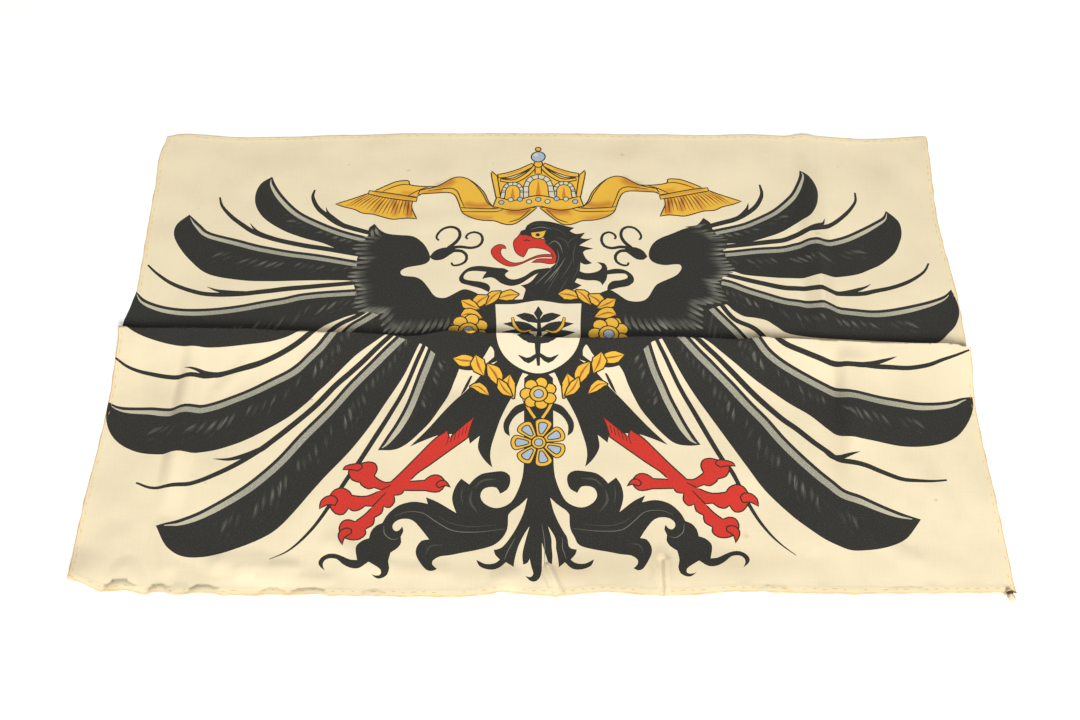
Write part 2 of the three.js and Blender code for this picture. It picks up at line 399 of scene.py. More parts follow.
RIGHT_FEATHERS = [
    ([(199, 144), (193, 131.5), (187, 124), (180, 117), (173, 111.5), (160, 104.5), (150, 100.5), (128, 95)],
     [(118, 80), (140, 82), (155, 82.5), (172, 88), (183, 93), (194, 100.5), (203, 104.5), (208, 112),
     (211, 121), (212, 131), (210, 139), (206, 146), (200.5, 151.5)]),
    ([(258, 105), (252, 101), (240, 94.5), (228, 88.5), (217, 85), (208, 83), (200, 83.5), (190, 81.8),
     (180, 79), (160, 77.5), (142, 75.5), (118, 74)], [(118, 57), (141, 56), (150, 53), (165, 51),
     (180, 49.5), (205, 49), (230, 51.5), (243, 57), (252, 62), (262, 71), (267, 80), (270, 89), (270, 98),
     (267, 104), (261, 110.5)]),
    ([(293, 33), (285, 29.5), (275, 26), (262, 22.5), (250, 20.5), (238, 20), (225, 21.5), (212, 23.5),
     (200, 26), (190, 29.5), (178, 32), (165, 37), (152, 42), (138, 48), (120, 51)], [(112, 26), (133, 27),
     (140, 21), (147, 16), (155, 14.5), (163, 12), (170, 6), (178, 0), (200, -4), (230, -6), (260, -8),
     (280, -9), (291, 0), (297, 7), (301, 17), (301, 27), (298.5, 38)]),
    ([(290, -62.5), (280, -65), (268, -66), (252, -65), (235, -62), (220, -59), (211, -57.5), (200, -51),
     (190, -45), (180, -39), (170, -32), (162, -24), (156, -14), (149, -4), (143, 5), (136, 14), (126, 27)],
     [(100, 0), (122, -21), (135, -33), (150, -47), (170, -64), (185, -75), (195, -85), (202, -91),
     (213, -94.5), (225, -97), (243, -100.5), (258, -100.5), (272, -98), (283, -92), (292, -81), (297, -70),
     (297.5, -62)]),
    ([(238, -151), (225, -145), (212, -138), (202, -133), (196, -127), (187, -118), (176, -105), (166, -92),
     (157, -78), (148, -66), (136, -50), (127, -40), (118.3, -30), (110, -20), (99, -6)], [(80, 0),
     (88.5, -20), (98, -40), (108.5, -60), (119.5, -80), (130.5, -100), (138, -114), (148, -131),
     (160, -146), (170, -157), (182, -167), (192, -173), (202, -177), (215, -177), (227, -174.5),
     (237, -169), (244, -161), (248.5, -155)]),
    ([(104.7, -90), (100, -80), (96, -70), (92, -60), (88.5, -50), (84.6, -40), (81.6, -30), (79, -20),
     (76, -6)], [(50, 0), (54, -30), (59, -41), (62, -50), (66, -60), (70, -69), (75, -77), (80, -84),
     (85, -90), (90, -95), (95, -97.5), (103, -98.5), (109, -98)]),
]

# The loose barbs between the feathers, from tip to root, each with the spur on its back.
LEFT_BARBS = [
    ([(171, 138), (172, 131), (168, 121), (161, 113), (147, 102), (118, 92)], [(161, 120), (158, 113),
     (148, 104)]),
    ([(243, 131), (240, 122), (232, 112), (223, 104), (212, 96), (195, 89), (176, 84), (156, 80), (122, 72)],
     [(217, 105), (210, 96.5), (198, 90.5)]),
    ([(288, 66), (280, 58), (268, 49), (252, 42), (239, 39), (218, 39), (197, 41), (177, 44), (122, 50)],
     [(242, 46), (232, 42), (214, 40.5)]),
    ([(298, -25), (287, -33), (273, -38), (256, -41), (228, -40), (207, -35), (187, -27), (172, -18),
     (158, -6), (144, 9.8), (131.7, 17.6), (122, 25)], [(247, -34.6), (239, -36.4), (226, -39)]),
    ([(268, -124), (255, -128), (232, -125), (214, -117), (197, -106), (179, -91), (158, -70), (142.5, -50),
     (132.5, -40), (122, -30), (112.5, -20), (100, -7)], [(219, -106), (206, -106), (188, -98)]),
]
RIGHT_BARBS = [
    ([(169, 139), (170, 131), (168, 124), (163, 116), (155, 109.5), (147, 105), (138, 102), (118, 96)],
     [(159, 121), (157, 114.5), (150, 107.5)]),
    ([(240.5, 130), (240, 122), (236, 115), (230, 108), (222, 101), (213, 95.5), (206, 92), (198, 91.5),
     (190, 88), (182, 84.5), (172, 83), (160, 81.5), (118, 77)], [(214.5, 104), (211.5, 97.5), (202, 92.5)]),
    ([(286, 62), (282, 55), (275, 49), (266, 43.5), (255, 39), (243, 36.5), (232, 34.5), (210, 35.5),
     (192, 39.5), (178, 41), (160, 46), (141, 51.5), (118, 58)], [(241, 43), (235, 39.5), (218, 36.5)]),
    ([(299, -28), (290, -31), (280, -34), (270, -37.5), (255, -39.5), (240, -39), (225, -38), (212, -38),
     (205, -36), (195, -31), (185, -26.5), (172, -20), (164, -11), (158, 0), (152, 6.5), (140, 13.5),
     (131, 27)], [(249, -31), (242, -33.5), (226, -36.5)]),
    ([(270, -126), (260, -127), (250, -126.5), (240, -125), (228, -120), (218, -115), (208, -112),
     (200, -109.5), (194, -104), (185, -96), (175, -86), (165, -77), (150, -60), (133.3, -40), (115, -20),
     (102, -6)], [(215, -105), (208, -106.5), (198, -107)]),
]
LEFT_LAST_BARB = [(173, -181), (160, -173), (147, -158), (136, -139), (128, -123), (120.5, -109), (111, -90),
                  (101, -70), (92, -50), (84.7, -30), (81, -20), (77, -6)]
RIGHT_LAST_BARB = [(165, -180), (157, -173), (150, -165), (143, -154), (136, -139), (128.5, -120),
                   (122.7, -110), (114, -90), (105.5, -70), (96.5, -50), (88.5, -30), (84.2, -20), (79, -6)]
BARB_WIDTHS = [1.4, 3.2, 3.8, 4.2, 4.3, 4.0, 3.4]
LAST_BARB_WIDTHS = [0.5, 2.0, 2.8, 3.4, 3.6, 3.2, 3.0, 2.6]
LEFT_WING_TOP = [(119, 98), (113, 94), (104, 92.5), (96, 92), (91, 90), (85, 84), (81, 76), (80, 70),
    (82, 66.5), (86, 64.5), (93, 63), (98, 61), (101, 58), (100, 54.5), (96, 53.5), (90, 53), (85, 50),
    (80, 43), (76, 36.5), (72, 34), (67, 34), (62, 37), (56, 41), (52, 41.5), (46, 39), (38, 34), (26, 32),
    (-1, 33)]
RIGHT_WING_TOP = [(119.5, 100.5), (114, 98), (108, 96), (100, 92), (92, 88.5), (87, 85), (84, 81), (82, 76),
    (81.5, 71), (83, 67), (87, 64), (93, 62.5), (99, 63), (103.5, 63), (105, 60.5), (104, 57), (101, 53),
    (96, 50), (91, 47.5), (86, 44.5), (83, 40), (80.5, 35), (77, 31), (71, 29.5), (64, 31), (58, 36),
    (52, 40), (46, 38), (38, 34), (26, 32), (-1, 33)]
# The scalloped outer border of the small feathers on the wing, as the tips of the scallops.
LEFT_SCALLOPS = [(127, 93), (138.5, 82), (134, 71), (140.5, 54), (134.5, 46), (134.5, 24), (115, 20),
                 (109, -9)]
RIGHT_SCALLOPS = [(130, 97), (141.5, 86), (138, 71), (144.5, 58), (133.5, 48), (137.5, 27), (119, 19),
                  (109, -9)]
LEFT_TUFT, RIGHT_TUFT = [(127, 99), (123, 103.5)], [(129, 102), (124, 106.5)]
# The small feathers themselves, in fans: the tips of the first and the last one, where those two
# fade out, how many there are, and how wide.
LEFT_COVERTS = [((124.5, 98), (122, 99.5), (121, 88), (117, 91), 2, 3.0), ((131, 91), (138, 83.5),
    (103, 90.5), (102, 86), 3, 2.4), ((138, 80), (133, 71.5), (106, 82), (110, 74), 3, 3.4), ((136, 67),
    (139.5, 58), (116, 71), (117, 61), 3, 2.8), ((140, 54.5), (134, 47), (118, 58), (115, 48), 3, 3.6),
    ((133, 42.5), (134, 26), (113, 48), (107, 36), 5, 3.4), ((130, 22.5), (117, 20.5), (105, 34), (98, 31),
    4, 3.8), ((114, 15), (110.5, 4), (104, 31), (98, 24), 3, 3.8), ((107, 2.5), (88, 3), (95, 24), (80, 23),
    5, 4.2), ((83, 3), (63, 6), (76, 20), (60, 20), 5, 3.2)]
RIGHT_COVERTS = [((125.5, 101), (127, 95.5), (110, 98), (108, 94), 2, 3.2), ((132, 93), (141, 86), (106, 92),
    (108, 87), 4, 2.6), ((140, 81.5), (137.5, 72.5), (110, 83), (112, 75), 3, 3.6), ((138.5, 68),
    (144, 58.5), (117, 70), (118, 60), 4, 3.2), ((142, 55), (134, 48.5), (118, 57), (115, 49), 3, 3.2),
    ((132, 45), (137, 29), (111, 53), (106, 43), 5, 3.4), ((132, 27.5), (121, 26), (105, 40), (100, 36), 3,
    3.8), ((118.5, 21), (117, 5), (102, 36), (95, 25), 4, 3.8), ((112, 4), (92, 4.5), (96, 24), (82, 22), 5,
    4.2), ((87, 3), (66, 5), (79, 19), (62, 19), 5, 3.2)]


# What the painter's two wings are made of, by side.
WINGS = {-1: (LEFT_FEATHERS, LEFT_BARBS, LEFT_LAST_BARB, LEFT_WING_TOP, LEFT_SCALLOPS, LEFT_TUFT,
              LEFT_COVERTS),
         1: (RIGHT_FEATHERS, RIGHT_BARBS, RIGHT_LAST_BARB, RIGHT_WING_TOP, RIGHT_SCALLOPS, RIGHT_TUFT,
             RIGHT_COVERTS)}


def feather(half, upper, lower, band):
    """A flight feather: black, with a grey band under its upper edge that turns pale at the tip."""
    edge = smooth([lower[-1]] + upper)
    belly = smooth([upper[-1]] + lower)[::-1]
    half.ink("black", outline(upper, lower), ("feather", edge, belly))
    inward = normals_of(edge)
    if np.dot(inward[len(edge) // 2], belly[len(belly) // 2] - edge[len(edge) // 2]) < 0:
        inward = -inward
    share = np.linspace(0, 1, len(edge))[:, None]
    swell = np.interp(share, [0, 0.03, 0.09, 0.18, 0.3, 1], [0, 0.15, 0.6, 0.9, 1, 0.9])
    start = edge + inward * EDGE_LINE * np.interp(share, [0, 0.06, 1], [0.3, 1, 1])
    end = start + inward * band * swell
    first = int(0.03 * len(edge))
    half.ink("grey", np.vstack([start[first:], end[first:][::-1]]), ("band", edge, belly))


def covert_fan(half, first_tip, last_tip, first_root, last_root, count, width):
    """Small feathers side by side, each grey at its tip and black where the next row covers it."""
    for share in np.linspace(0, 1, count):
        tip = (1 - share) * np.array(first_tip, float) + share * np.array(last_tip)
        root = (1 - share) * np.array(first_root, float) + share * np.array(last_root)
        along = (root - tip) / np.hypot(*(root - tip))
        side = np.array([-along[1], along[0]])
        end = np.array([tip - side * width / 2, tip + side * width / 2])
        bow = (tip + root) / 2 + side * 1.2
        half.ink("plume", blade([tip, bow, root], [width * 0.35, width * 0.9, width * 0.65, 0.3]),
                 ("covert", end, np.array([root, root])))


def wing(half):
    feathers, barbs, last_barb, top, tips, tuft, coverts = WINGS[half.side]
    for line, spur in barbs:
        half.ink("black", blade(line, BARB_WIDTHS))
        back = smooth(line)
        joint = np.argmin(np.hypot(*(back - spur[-1]).T))
        half.ink("black", blade(spur[:-1] + [back[joint], back[joint + 4]], [0.3, 3.0, 4.4, 3.0]))
    half.ink("black", blade(last_barb, LAST_BARB_WIDTHS))
    for (upper, lower), band in zip(feathers, BAND_WIDTHS):
        feather(half, upper, lower, band)
    tips = tips[::-1]
    border = [tips[:1], [(112, 6), tips[1]]]
    for a, b in zip(tips[1:-1], tips[2:]):
        border.append([((a[0] + b[0]) / 2 - 3, (a[1] + b[1]) / 2), b])
    border.append(tuft)
    half.ink("black", outline(top, [(-1, -22), (26, -30)],
                              [(36, -34), (46, -37.5), (56, -36), (66, -30), (80, -18)], *border))
    for fan in coverts:
        covert_fan(half, *fan)


def thigh(half):
    half.ink("black", outline(
        [(-1, -30), (-1, -44)], [(11, -40)],
        [(13, -44), (17, -55), (22, -66), (26, -76), (29.5, -88), (32, -98), (32.5, -106), (31, -114)],
        [(35, -110), (39, -104), (41, -98), (40, -89.5)], [(46.5, -95.5)], [(48, -88)], [(66, -88.5)],
        [(72, -90.5), (80, -94), (87, -97.5)],
        [(84, -94), (76, -85), (68, -75), (58, -62), (50, -53), (44, -46), (37, -38), (26, -29)]))
    half.ink("black", outline([(47.5, -42), (51, -49), (54, -57)], [(50, -52), (46, -42)]))
    half.ink("ground", outline([(33.5, -20), (37, -26), (41, -32)], [(37, -33), (31, -28)], [(31, -24)]))
    half.ink("black", outline([(16, -66), (21, -73), (24, -80), (23, -87), (19.5, -90)],
                              [(20, -82), (16, -74), (9, -69)], [(9, -63)]))


LEG = [[(46, -82), (48, -91)], [(60, -101), (72, -111), (81, -118), (86, -124)], [(76, -123.3)], [(72, -120),
    (67, -119.5), (63, -123), (62.5, -128), (66, -132), (71, -132), (75, -131)], [(89, -131)], [(91, -134),
    (95.5, -135)], [(95, -140), (98, -144), (102, -143)], [(103, -148), (107.5, -151)], [(108, -156),
    (113, -159.5)], [(112.5, -163), (116, -166.5), (122, -167), (128, -164), (130, -158), (128, -153.5),
    (124, -152.5), (120, -154)], [(114, -149), (109, -143)], [(114, -142.5)], [(118, -145.5), (122, -146),
    (125, -144)], [(128, -148.5), (133, -148), (137, -143), (138, -136), (135, -130.5), (130, -129),
    (125.5, -131.5), (123.5, -134.5)], [(118, -135.5), (112, -135), (104, -131)], [(109, -129)],
    [(113, -130), (117.5, -127), (118.5, -125)], [(124, -123), (127, -117), (125, -112.5), (120, -110.5),
    (114, -109), (109.5, -110.5), (108, -115), (109.5, -120)], [(106, -123), (102, -125), (98, -124.5)],
    [(90, -115), (80, -103), (70, -91.5), (62, -85.5)], [(60.5, -91)], [(52, -82.5), (43.5, -74.5)]]
CLAWS = [([(129, -112), (124, -110.5), (119.5, -110.5), (118, -113.5), (121, -116)], [(125, -115),
    (131, -115)]), ([(143.5, -139), (140, -135.5), (135.5, -135), (132.5, -138), (134, -142)],
    [(139, -141.5), (144, -144.5)]), ([(130, -165), (129.5, -161), (126, -158.5), (122, -159.5),
    (122, -162.5)], [(126, -165.5), (127, -171)]), ([(62, -124), (66, -124), (68, -127), (66, -129)],
    [(62, -127.5), (58.5, -129)])]
LEG_CREASES = [[(109, -143), (101, -133)], [(104, -131), (98, -127)]]


def leg(half):
    half.outlined("red", outline(*LEG))
    for back, front in CLAWS:
        half.outlined("red", outline(back, front))
    for crease in LEG_CREASES:
        half.ink("line", blade(crease, [1.0, 0.7]))
    for k in range(6):
        x = 48.5 + 2.5 * k
        half.ink("line", blade([(x, -82 - 1.6 * k), (x + 1.2, -88 - 1.7 * k)], [0.5, 1.2, 0.5]))


TAIL = [[(-1, -44), (10, -44)], [(10, -80), (10, -100), (10, -112), (11, -122), (14, -132), (18, -140),
    (24, -144), (30, -144.5), (36, -141), (38.5, -136), (37, -131), (33, -129), (28, -129.5), (25.5, -134)],
    [(21, -131), (19, -126), (19.5, -120), (24, -117), (31, -117.5), (38, -119), (43, -123), (46, -127)],
    [(51.5, -122.5)], [(55, -128), (57, -135), (56.5, -141), (54, -148)], [(60, -144), (67, -139.5),
    (74.5, -136)], [(73, -141)], [(80, -139.5), (86, -140), (93, -143), (99, -149), (102, -155)],
    [(106, -157), (109, -161), (110, -166)], [(114, -167.5), (117.5, -171), (118, -175), (116.5, -182)],
    [(121, -181.5), (126, -179), (131, -177), (136, -177), (140, -179.5), (141.5, -183), (140, -186),
    (137, -188.5)], [(138.5, -185), (138, -182), (135, -180), (130, -180.5), (126, -184), (121, -187),
    (115, -187.5), (109, -183.5)], [(105, -186), (101, -189), (101, -192), (104, -192.5), (107, -191.5)],
    [(104, -194), (101, -194.5), (97, -192.5), (95.5, -188), (96.5, -183), (95.5, -176.5)], [(91, -173),
    (89, -169), (89.5, -165), (88, -161), (89, -157.5)], [(90.5, -160), (93, -161), (95, -159), (95, -156),
    (92, -153), (87, -152), (82, -153.5), (77, -159), (71, -167)], [(76, -168), (79, -173), (79, -178),
    (76, -184), (72, -189), (68, -190), (65, -188.5)], [(68, -185.5), (68, -182.5), (64, -179.5),
    (57, -178.5), (50, -177), (40, -175), (30, -172), (24, -167), (20.5, -160), (20, -150)], [(18, -147),
    (12, -142), (7.5, -137)], [(10, -148), (15, -160), (21, -170), (25, -174), (29, -175)], [(28, -178.5),
    (25, -182)], [(28, -184.5), (34, -185), (40, -182)], [(38, -186.5), (32, -189), (26, -188.5),
    (21, -184)], [(16, -187.5)], [(15.5, -182), (13, -172), (9, -163), (6, -158)], [(8.5, -168),
    (10.5, -178), (10, -185.5)], [(7, -184), (4, -176), (-1, -160)]]
TAIL_NARROWING = 6.5
TAIL_LIGHTS = [([(22, -160), (40, -162), (55, -161), (66, -155), (76, -148), (86, -147), (94, -150)], 0.55,
    0.4), ([(28, -157), (45, -158), (58, -155), (66, -150)], 0.6, 0.16), ([(101, -157), (100, -163),
    (95, -167), (91, -166)], 0.6, 0.35), ([(44, -131), (45, -140), (40, -148)], 1.7, 0.14), ([(28, -123),
    (37, -124), (43, -130)], 1.5, 0.14), ([(50, -128), (51, -135), (50, -142)], 0.7, 0.22), ([(62, -171),
    (70, -172), (73, -178)], 0.9, 0.16), ([(4, -186), (4, -172), (2, -156)], 0.5, 0.34), ([(15, -166),
    (20, -176), (22, -182)], 0.5, 0.3)]


def tail(half):
    """One half of the tail. The right one is a little narrower, most of all at its lower end."""
    def fitted(points):
        x, y = np.array(points, float).T
        reach = np.maximum(ease((x - 45) / 35), 0.7 * ease(x / 25) * ease((-165 - y) / 10))
        narrow = TAIL_NARROWING * (half.side > 0) * reach * ease((-110 - y) / 40)
        return np.stack([x - narrow, y], 1)

    half.ink("black", fitted(outline(*TAIL)))
    half.lights(*((fitted(smooth(points)), width, strength) for points, width, strength in TAIL_LIGHTS))


# The bud that the thin curls grow from, then each curl with its widths.
BUD_ROOT = 80.5            # where the bud meets the wing
BUD = [[(77, 77.5), (71, 80.5), (64, 80.5), (60, 78)], [(65, 74), (71, 69.5), (77, 69), (80.5, 72)]]
CURLS = [([(67, 80), (61, 86), (58.5, 92), (60, 97.5), (65, 100), (71, 98.5), (75, 94), (76, 90),
    (74, 87.5)], [3, 2.4, 2.0, 1.6]), ([(67, 80), (58, 81), (50, 79.8), (44, 81.8), (41.5, 87), (43, 92.5),
    (48, 94.8), (52.5, 93), (54, 90), (52.5, 88.5)], [3, 2.4, 2.0, 1.6]), ([(64, 77.5), (57, 77), (53, 72.5),
    (54, 67), (59, 64), (63, 64), (64, 66.5)], [3, 2.2, 1.6])]
RIGHT_CURL_SIZE, RIGHT_CURL_DROP = 0.86, 1.26


def scrolls(half):
    """The thin curls beside the head. The right ones are smaller."""
    size, drop = (RIGHT_CURL_SIZE, RIGHT_CURL_DROP) if half.side > 0 else (1, 0)

    def fitted(points):
        return [(BUD_ROOT - (BUD_ROOT - x) * size, y - drop) for x, y in points]

    half.ink("black", outline(*map(fitted, BUD)))
    for line, widths in CURLS:
        half.ink("black", blade(fitted(line), widths))


HEAD = [[(-13, 95.5), (-10, 97), (-8.5, 101), (-4, 104.5), (1, 105.5), (8, 104.8), (15, 102.5), (22, 99.5),
    (27, 98)], [(23.5, 95)], [(28, 92), (35, 93)], [(31.5, 88)], [(36, 87), (40.5, 88)], [(33, 83),
    (30.5, 81)], [(41, 78)], [(35, 76.5), (33, 74.5)], [(35, 69), (39.5, 64.5)], [(34.5, 63), (31, 65)],
    [(30.5, 58), (29, 52), (26.5, 47)], [(31.5, 44)], [(27, 41), (22, 38), (20, 30)], [(-12, 30)],
    [(-10, 38), (-9.5, 42), (-13, 45)], [(-8, 46.5), (-4, 50), (0, 56), (5, 57.5), (9, 61), (13, 65)],
    [(4, 89)], [(-5, 90.7), (-14, 92.5)]]
NECK_LIGHTS = [([(-6, 97), (2, 99.5), (10, 97)], 0.8, 0.3), ([(-8, 101), (0, 102.5), (8, 101)], 0.6, 0.16),
    ([(7, 82), (12, 86), (16, 82), (18, 74)], 0.9, 0.4), ([(12, 90), (20, 86), (23, 78)], 0.8, 0.2),
    ([(20, 70), (16, 62), (10, 54), (4, 46)], 1.0, 0.34), ([(26, 70), (22, 60), (16, 50)], 0.9, 0.22),
    ([(10, 60), (4, 53), (-2, 46)], 0.8, 0.3), ([(16, 58), (10, 47), (6, 38)], 0.8, 0.24), ([(22, 52),
    (18, 44), (14, 36)], 0.8, 0.2), ([(28, 84), (26, 74), (26, 64)], 0.8, 0.18), ([(-8, 40), (-3, 36)], 0.8,
    0.2), ([(30, 90), (24, 86), (21, 80)], 0.7, 0.2), ([(14, 78), (15, 70), (12, 60)], 0.6, 0.3), ([(4, 100),
    (14, 97), (22, 90)], 0.6, 0.25), ([(18, 66), (13, 56), (8, 48)], 0.5, 0.3), ([(31, 66), (28, 56),
    (24, 46)], 0.6, 0.2)]
BEAK = [[(-15.5, 89.5), (-18, 86.5), (-18.5, 82), (-17, 76), (-14, 72.5), (-11, 71)], [(-9.5, 74),
    (-7.5, 79)], [(-3, 79.8), (3, 78.7), (8, 76), (10.2, 72.5), (10, 69)], [(4, 69.5), (-1, 69), (-5, 66)],
    [(2, 66), (8, 64.5), (12.5, 65)], [(13.5, 70), (12, 76), (9, 80), (5.5, 84), (4, 88)], [(0, 88.3),
    (-4, 89), (-5, 90.7)], [(-9, 91), (-14, 92.5)]]
TONGUE = [[(5, 73.5), (0, 72.8), (-6, 70), (-12, 66.5), (-18, 65.5), (-23, 67.5), (-27, 72), (-28, 76.5),
    (-26.5, 79), (-24, 78.5)], [(-25, 81.5), (-29, 82.8), (-33, 80.5), (-35, 76), (-33, 70.5), (-28, 65.5),
    (-23, 62.7), (-18, 62.5), (-12, 65), (-6, 68.5), (0, 70.8), (5, 71.2), (9.5, 70.8)], [(9.5, 73.2)]]
LEFT_SASH = [[(-3, 59), (-10, 53.5), (-17, 50.5), (-22, 51.5), (-24.5, 55), (-21.5, 58)], [(-25, 60.5),
    (-29, 60.8)], [(-35, 61.8), (-43, 63), (-50, 62), (-55, 58), (-58, 52), (-56.5, 47.5), (-50, 45),
    (-42, 42.5), (-36, 39)], [(-35, 43), (-37, 46.5), (-42, 48.5), (-49, 49.5), (-54, 51), (-54.5, 54),
    (-52, 57.5), (-47, 58.5), (-38, 57.5)], [(-40, 54), (-41, 51)], [(-36, 52.5), (-32, 51.5), (-27, 47),
    (-20, 44.5), (-13, 46.5), (-6, 52), (0, 56), (9, 57)], [(8, 61)]]
RIGHT_SASH = [[(33, 55.5), (39, 55.3), (45, 58), (46.5, 62), (43, 65.5)], [(48.5, 64.5), (50.5, 60.5),
    (50.5, 58)], [(57, 59.5), (64, 58), (69, 53), (69.5, 47.5), (65, 43.5), (58, 42), (50, 39)], [(50.5, 44),
    (54, 48), (60, 49), (65, 51), (64, 54.5), (58, 55), (50.5, 54)], [(49.5, 49), (46.5, 44)], [(45, 47),
    (41, 48.5), (35, 48.5), (26, 51)], [(29, 58)]]
EYE = [[(-4.6, 90), (0, 88.4), (4, 90.4), (6, 96.2)], [(2, 95.4), (-2, 94.8), (-5.6, 94.2)]]


def head(target):
    target.ink("black", outline(*LEFT_SASH))
    target.ink("black", outline(*RIGHT_SASH))
    target.ink("black", outline(*HEAD))
    for points, width, strength in NECK_LIGHTS:
        target.light(points, width, strength)
    target.outlined("red", outline(*BEAK), 0.7)
    target.outlined("red", outline(*TONGUE), 0.7)
    target.ink("line", blade([(-11, 86.2), (-9, 87), (-6, 86)], [0.6, 1.3, 0.6]))
    target.outlined("gold", outline(*EYE), 0.7)
    target.ink("black", disc(-0.4, 92, 1.6, 10))


# The fringed ribbon that flutters from the coronet. Right half: outlines, then the lines on them.
RIBBON_BACK = [[(86, 139.3), (98, 141), (99, 144.5), (102, 145.3), (109, 144.3), (117, 140.5), (126, 135.5)],
               [(93, 129.5)], [(88, 133), (80, 136), (74, 140)]]
RIBBON_CREST = [[(80, 138.5), (73, 142.5), (67, 147), (61, 149), (54, 147), (47, 141), (41, 133), (38, 125),
    (35, 120), (32, 117.5)], [(45, 116.5), (59, 118)], [(61, 125), (64, 131.5), (69, 133.8), (78, 133.3),
    (92, 132)], [(90, 136)]]
RIBBON_FRONT = [[(57, 113), (50, 108), (42, 105.3), (33, 104.5), (27, 102), (22, 101), (17, 102.5),
                (10, 109), (1, 118.5)], [(14, 119.5), (25, 119), (34, 117), (45, 117.5), (59, 118.5)]]
FRINGE = [[(140, 129), (154, 123)], [(147, 120), (139, 117.5), (133, 114), (125, 113), (118, 110.5),
    (110, 108), (103, 108.7), (97, 109), (91.5, 108)], [(94, 114), (96, 120), (95.5, 127)], [(110, 131),
    (130, 133.5)]]
RIBBON_LINES = [[(34, 118.5), (39, 124), (42, 131.5), (48, 141), (52, 145)], [(56, 119), (59, 127),
    (62, 135), (67, 138), (76, 136.8), (84, 135.5)], [(58, 114.5), (45, 114), (31, 114), (24, 118)],
    [(22, 103.3), (14, 107.5), (6, 117)], [(119, 135.5), (112, 139), (104, 141.5), (98, 141)], [(99, 131),
    (92, 135.5), (84, 139)]]


def ribbon_half(half):
    half.outlined("gold", outline(*RIBBON_BACK))
    half.outlined("gold", outline(*FRINGE))
    for k in range(17):
        share = k / 16
        top = np.array([131 - 35 * share, 132.5 - 5.5 * share])
        foot = np.array([146 - 50 * share, 120.5 - 10.5 * share + 1.5 * np.sin(9 * share)])
        half.ink("brown", blade([top, (top + foot) / 2 + (0, 0.8), foot], [0.5, 0.9 + 0.5 * (k % 2), 0.3]))
    half.outlined("gold", blade([(129.5, 134.6), (110, 130.5), (92.5, 127)], [3.2, 4.6, 4.6, 3.6]))
    half.outlined("gold", outline(*RIBBON_CREST))
    half.outlined("gold", outline(*RIBBON_FRONT))
    for line in RIBBON_LINES:
        half.ink("line", blade(line, [0.6, 0.9, 0.9, 0.6]))
    for points, width, strength in RIBBON_SHADES:
        half.brushed(points, width, strength)


# Where the gold turns to amber: these marks darken gold as the others lighten black.
RIBBON_SHADES = [([(76, 140), (70, 142), (66, 145)], 4.0, 0.8), ([(54, 122), (46, 120), (38, 121)], 3.6,
    0.75), ([(54, 110), (44, 108), (36, 107)], 2.6, 0.5), ([(22, 114), (14, 114), (8, 116)], 3.6, 0.9),
    ([(124, 134), (110, 131), (96, 128)], 1.6, 0.5), ([(100, 124), (98, 117), (98, 112)], 3.5, 0.9),
    ([(110, 126), (108, 119), (108, 114)], 3.0, 0.7), ([(120, 126), (122, 120), (124, 116)], 2.8, 0.5),
    ([(96, 133), (104, 134)], 2.4, 0.5), ([(74, 135.2), (88, 133.8)], 1.4, 0.6)]


CORONET_FOOT = 122         # where the panels stand on the band


def arch(x, half_width, height):
    """The outline of a round-headed panel that stands on the coronet's band."""
    right, left, top = x + half_width, x - half_width, CORONET_FOOT + height
    shoulder, spring = top - half_width * 0.3, top - half_width
    return outline([(right, CORONET_FOOT), (right, spring)],
                   [(x + half_width * 0.7, shoulder), (x, top), (x - half_width * 0.7, shoulder),
                    (left, spring)], [(left, CORONET_FOOT)])


def panel(target, x, half_width, height):
    """A gold panel in a round-headed border of pale blocks."""
    target.outlined("pale", arch(x, half_width, height), 0.8)
    centre = np.array([x, CORONET_FOOT + height - half_width])
    for turn in np.radians(np.arange(0, 181, 30)):
        way = np.array([math.cos(turn), math.sin(turn)]) * half_width
        target.ink("line", blade([centre + way * 0.6, centre + way], [0.7, 0.7]))
    for side in (-1, 1):
        for y in (CORONET_FOOT + 6, CORONET_FOOT + 12):
            joint = [(x + side * half_width * 0.6, y), (x + side * half_width, y)]
            target.ink("line", blade(joint, [0.7, 0.7]))
    target.outlined("gold", arch(x, half_width * 0.64, height - half_width * 0.36), 0.8)
    groove = [(x, CORONET_FOOT + height - 6), (x, CORONET_FOOT + 6)]
    target.ink("amber", blade(groove, [0.6, half_width * 0.5, half_width * 0.4]))


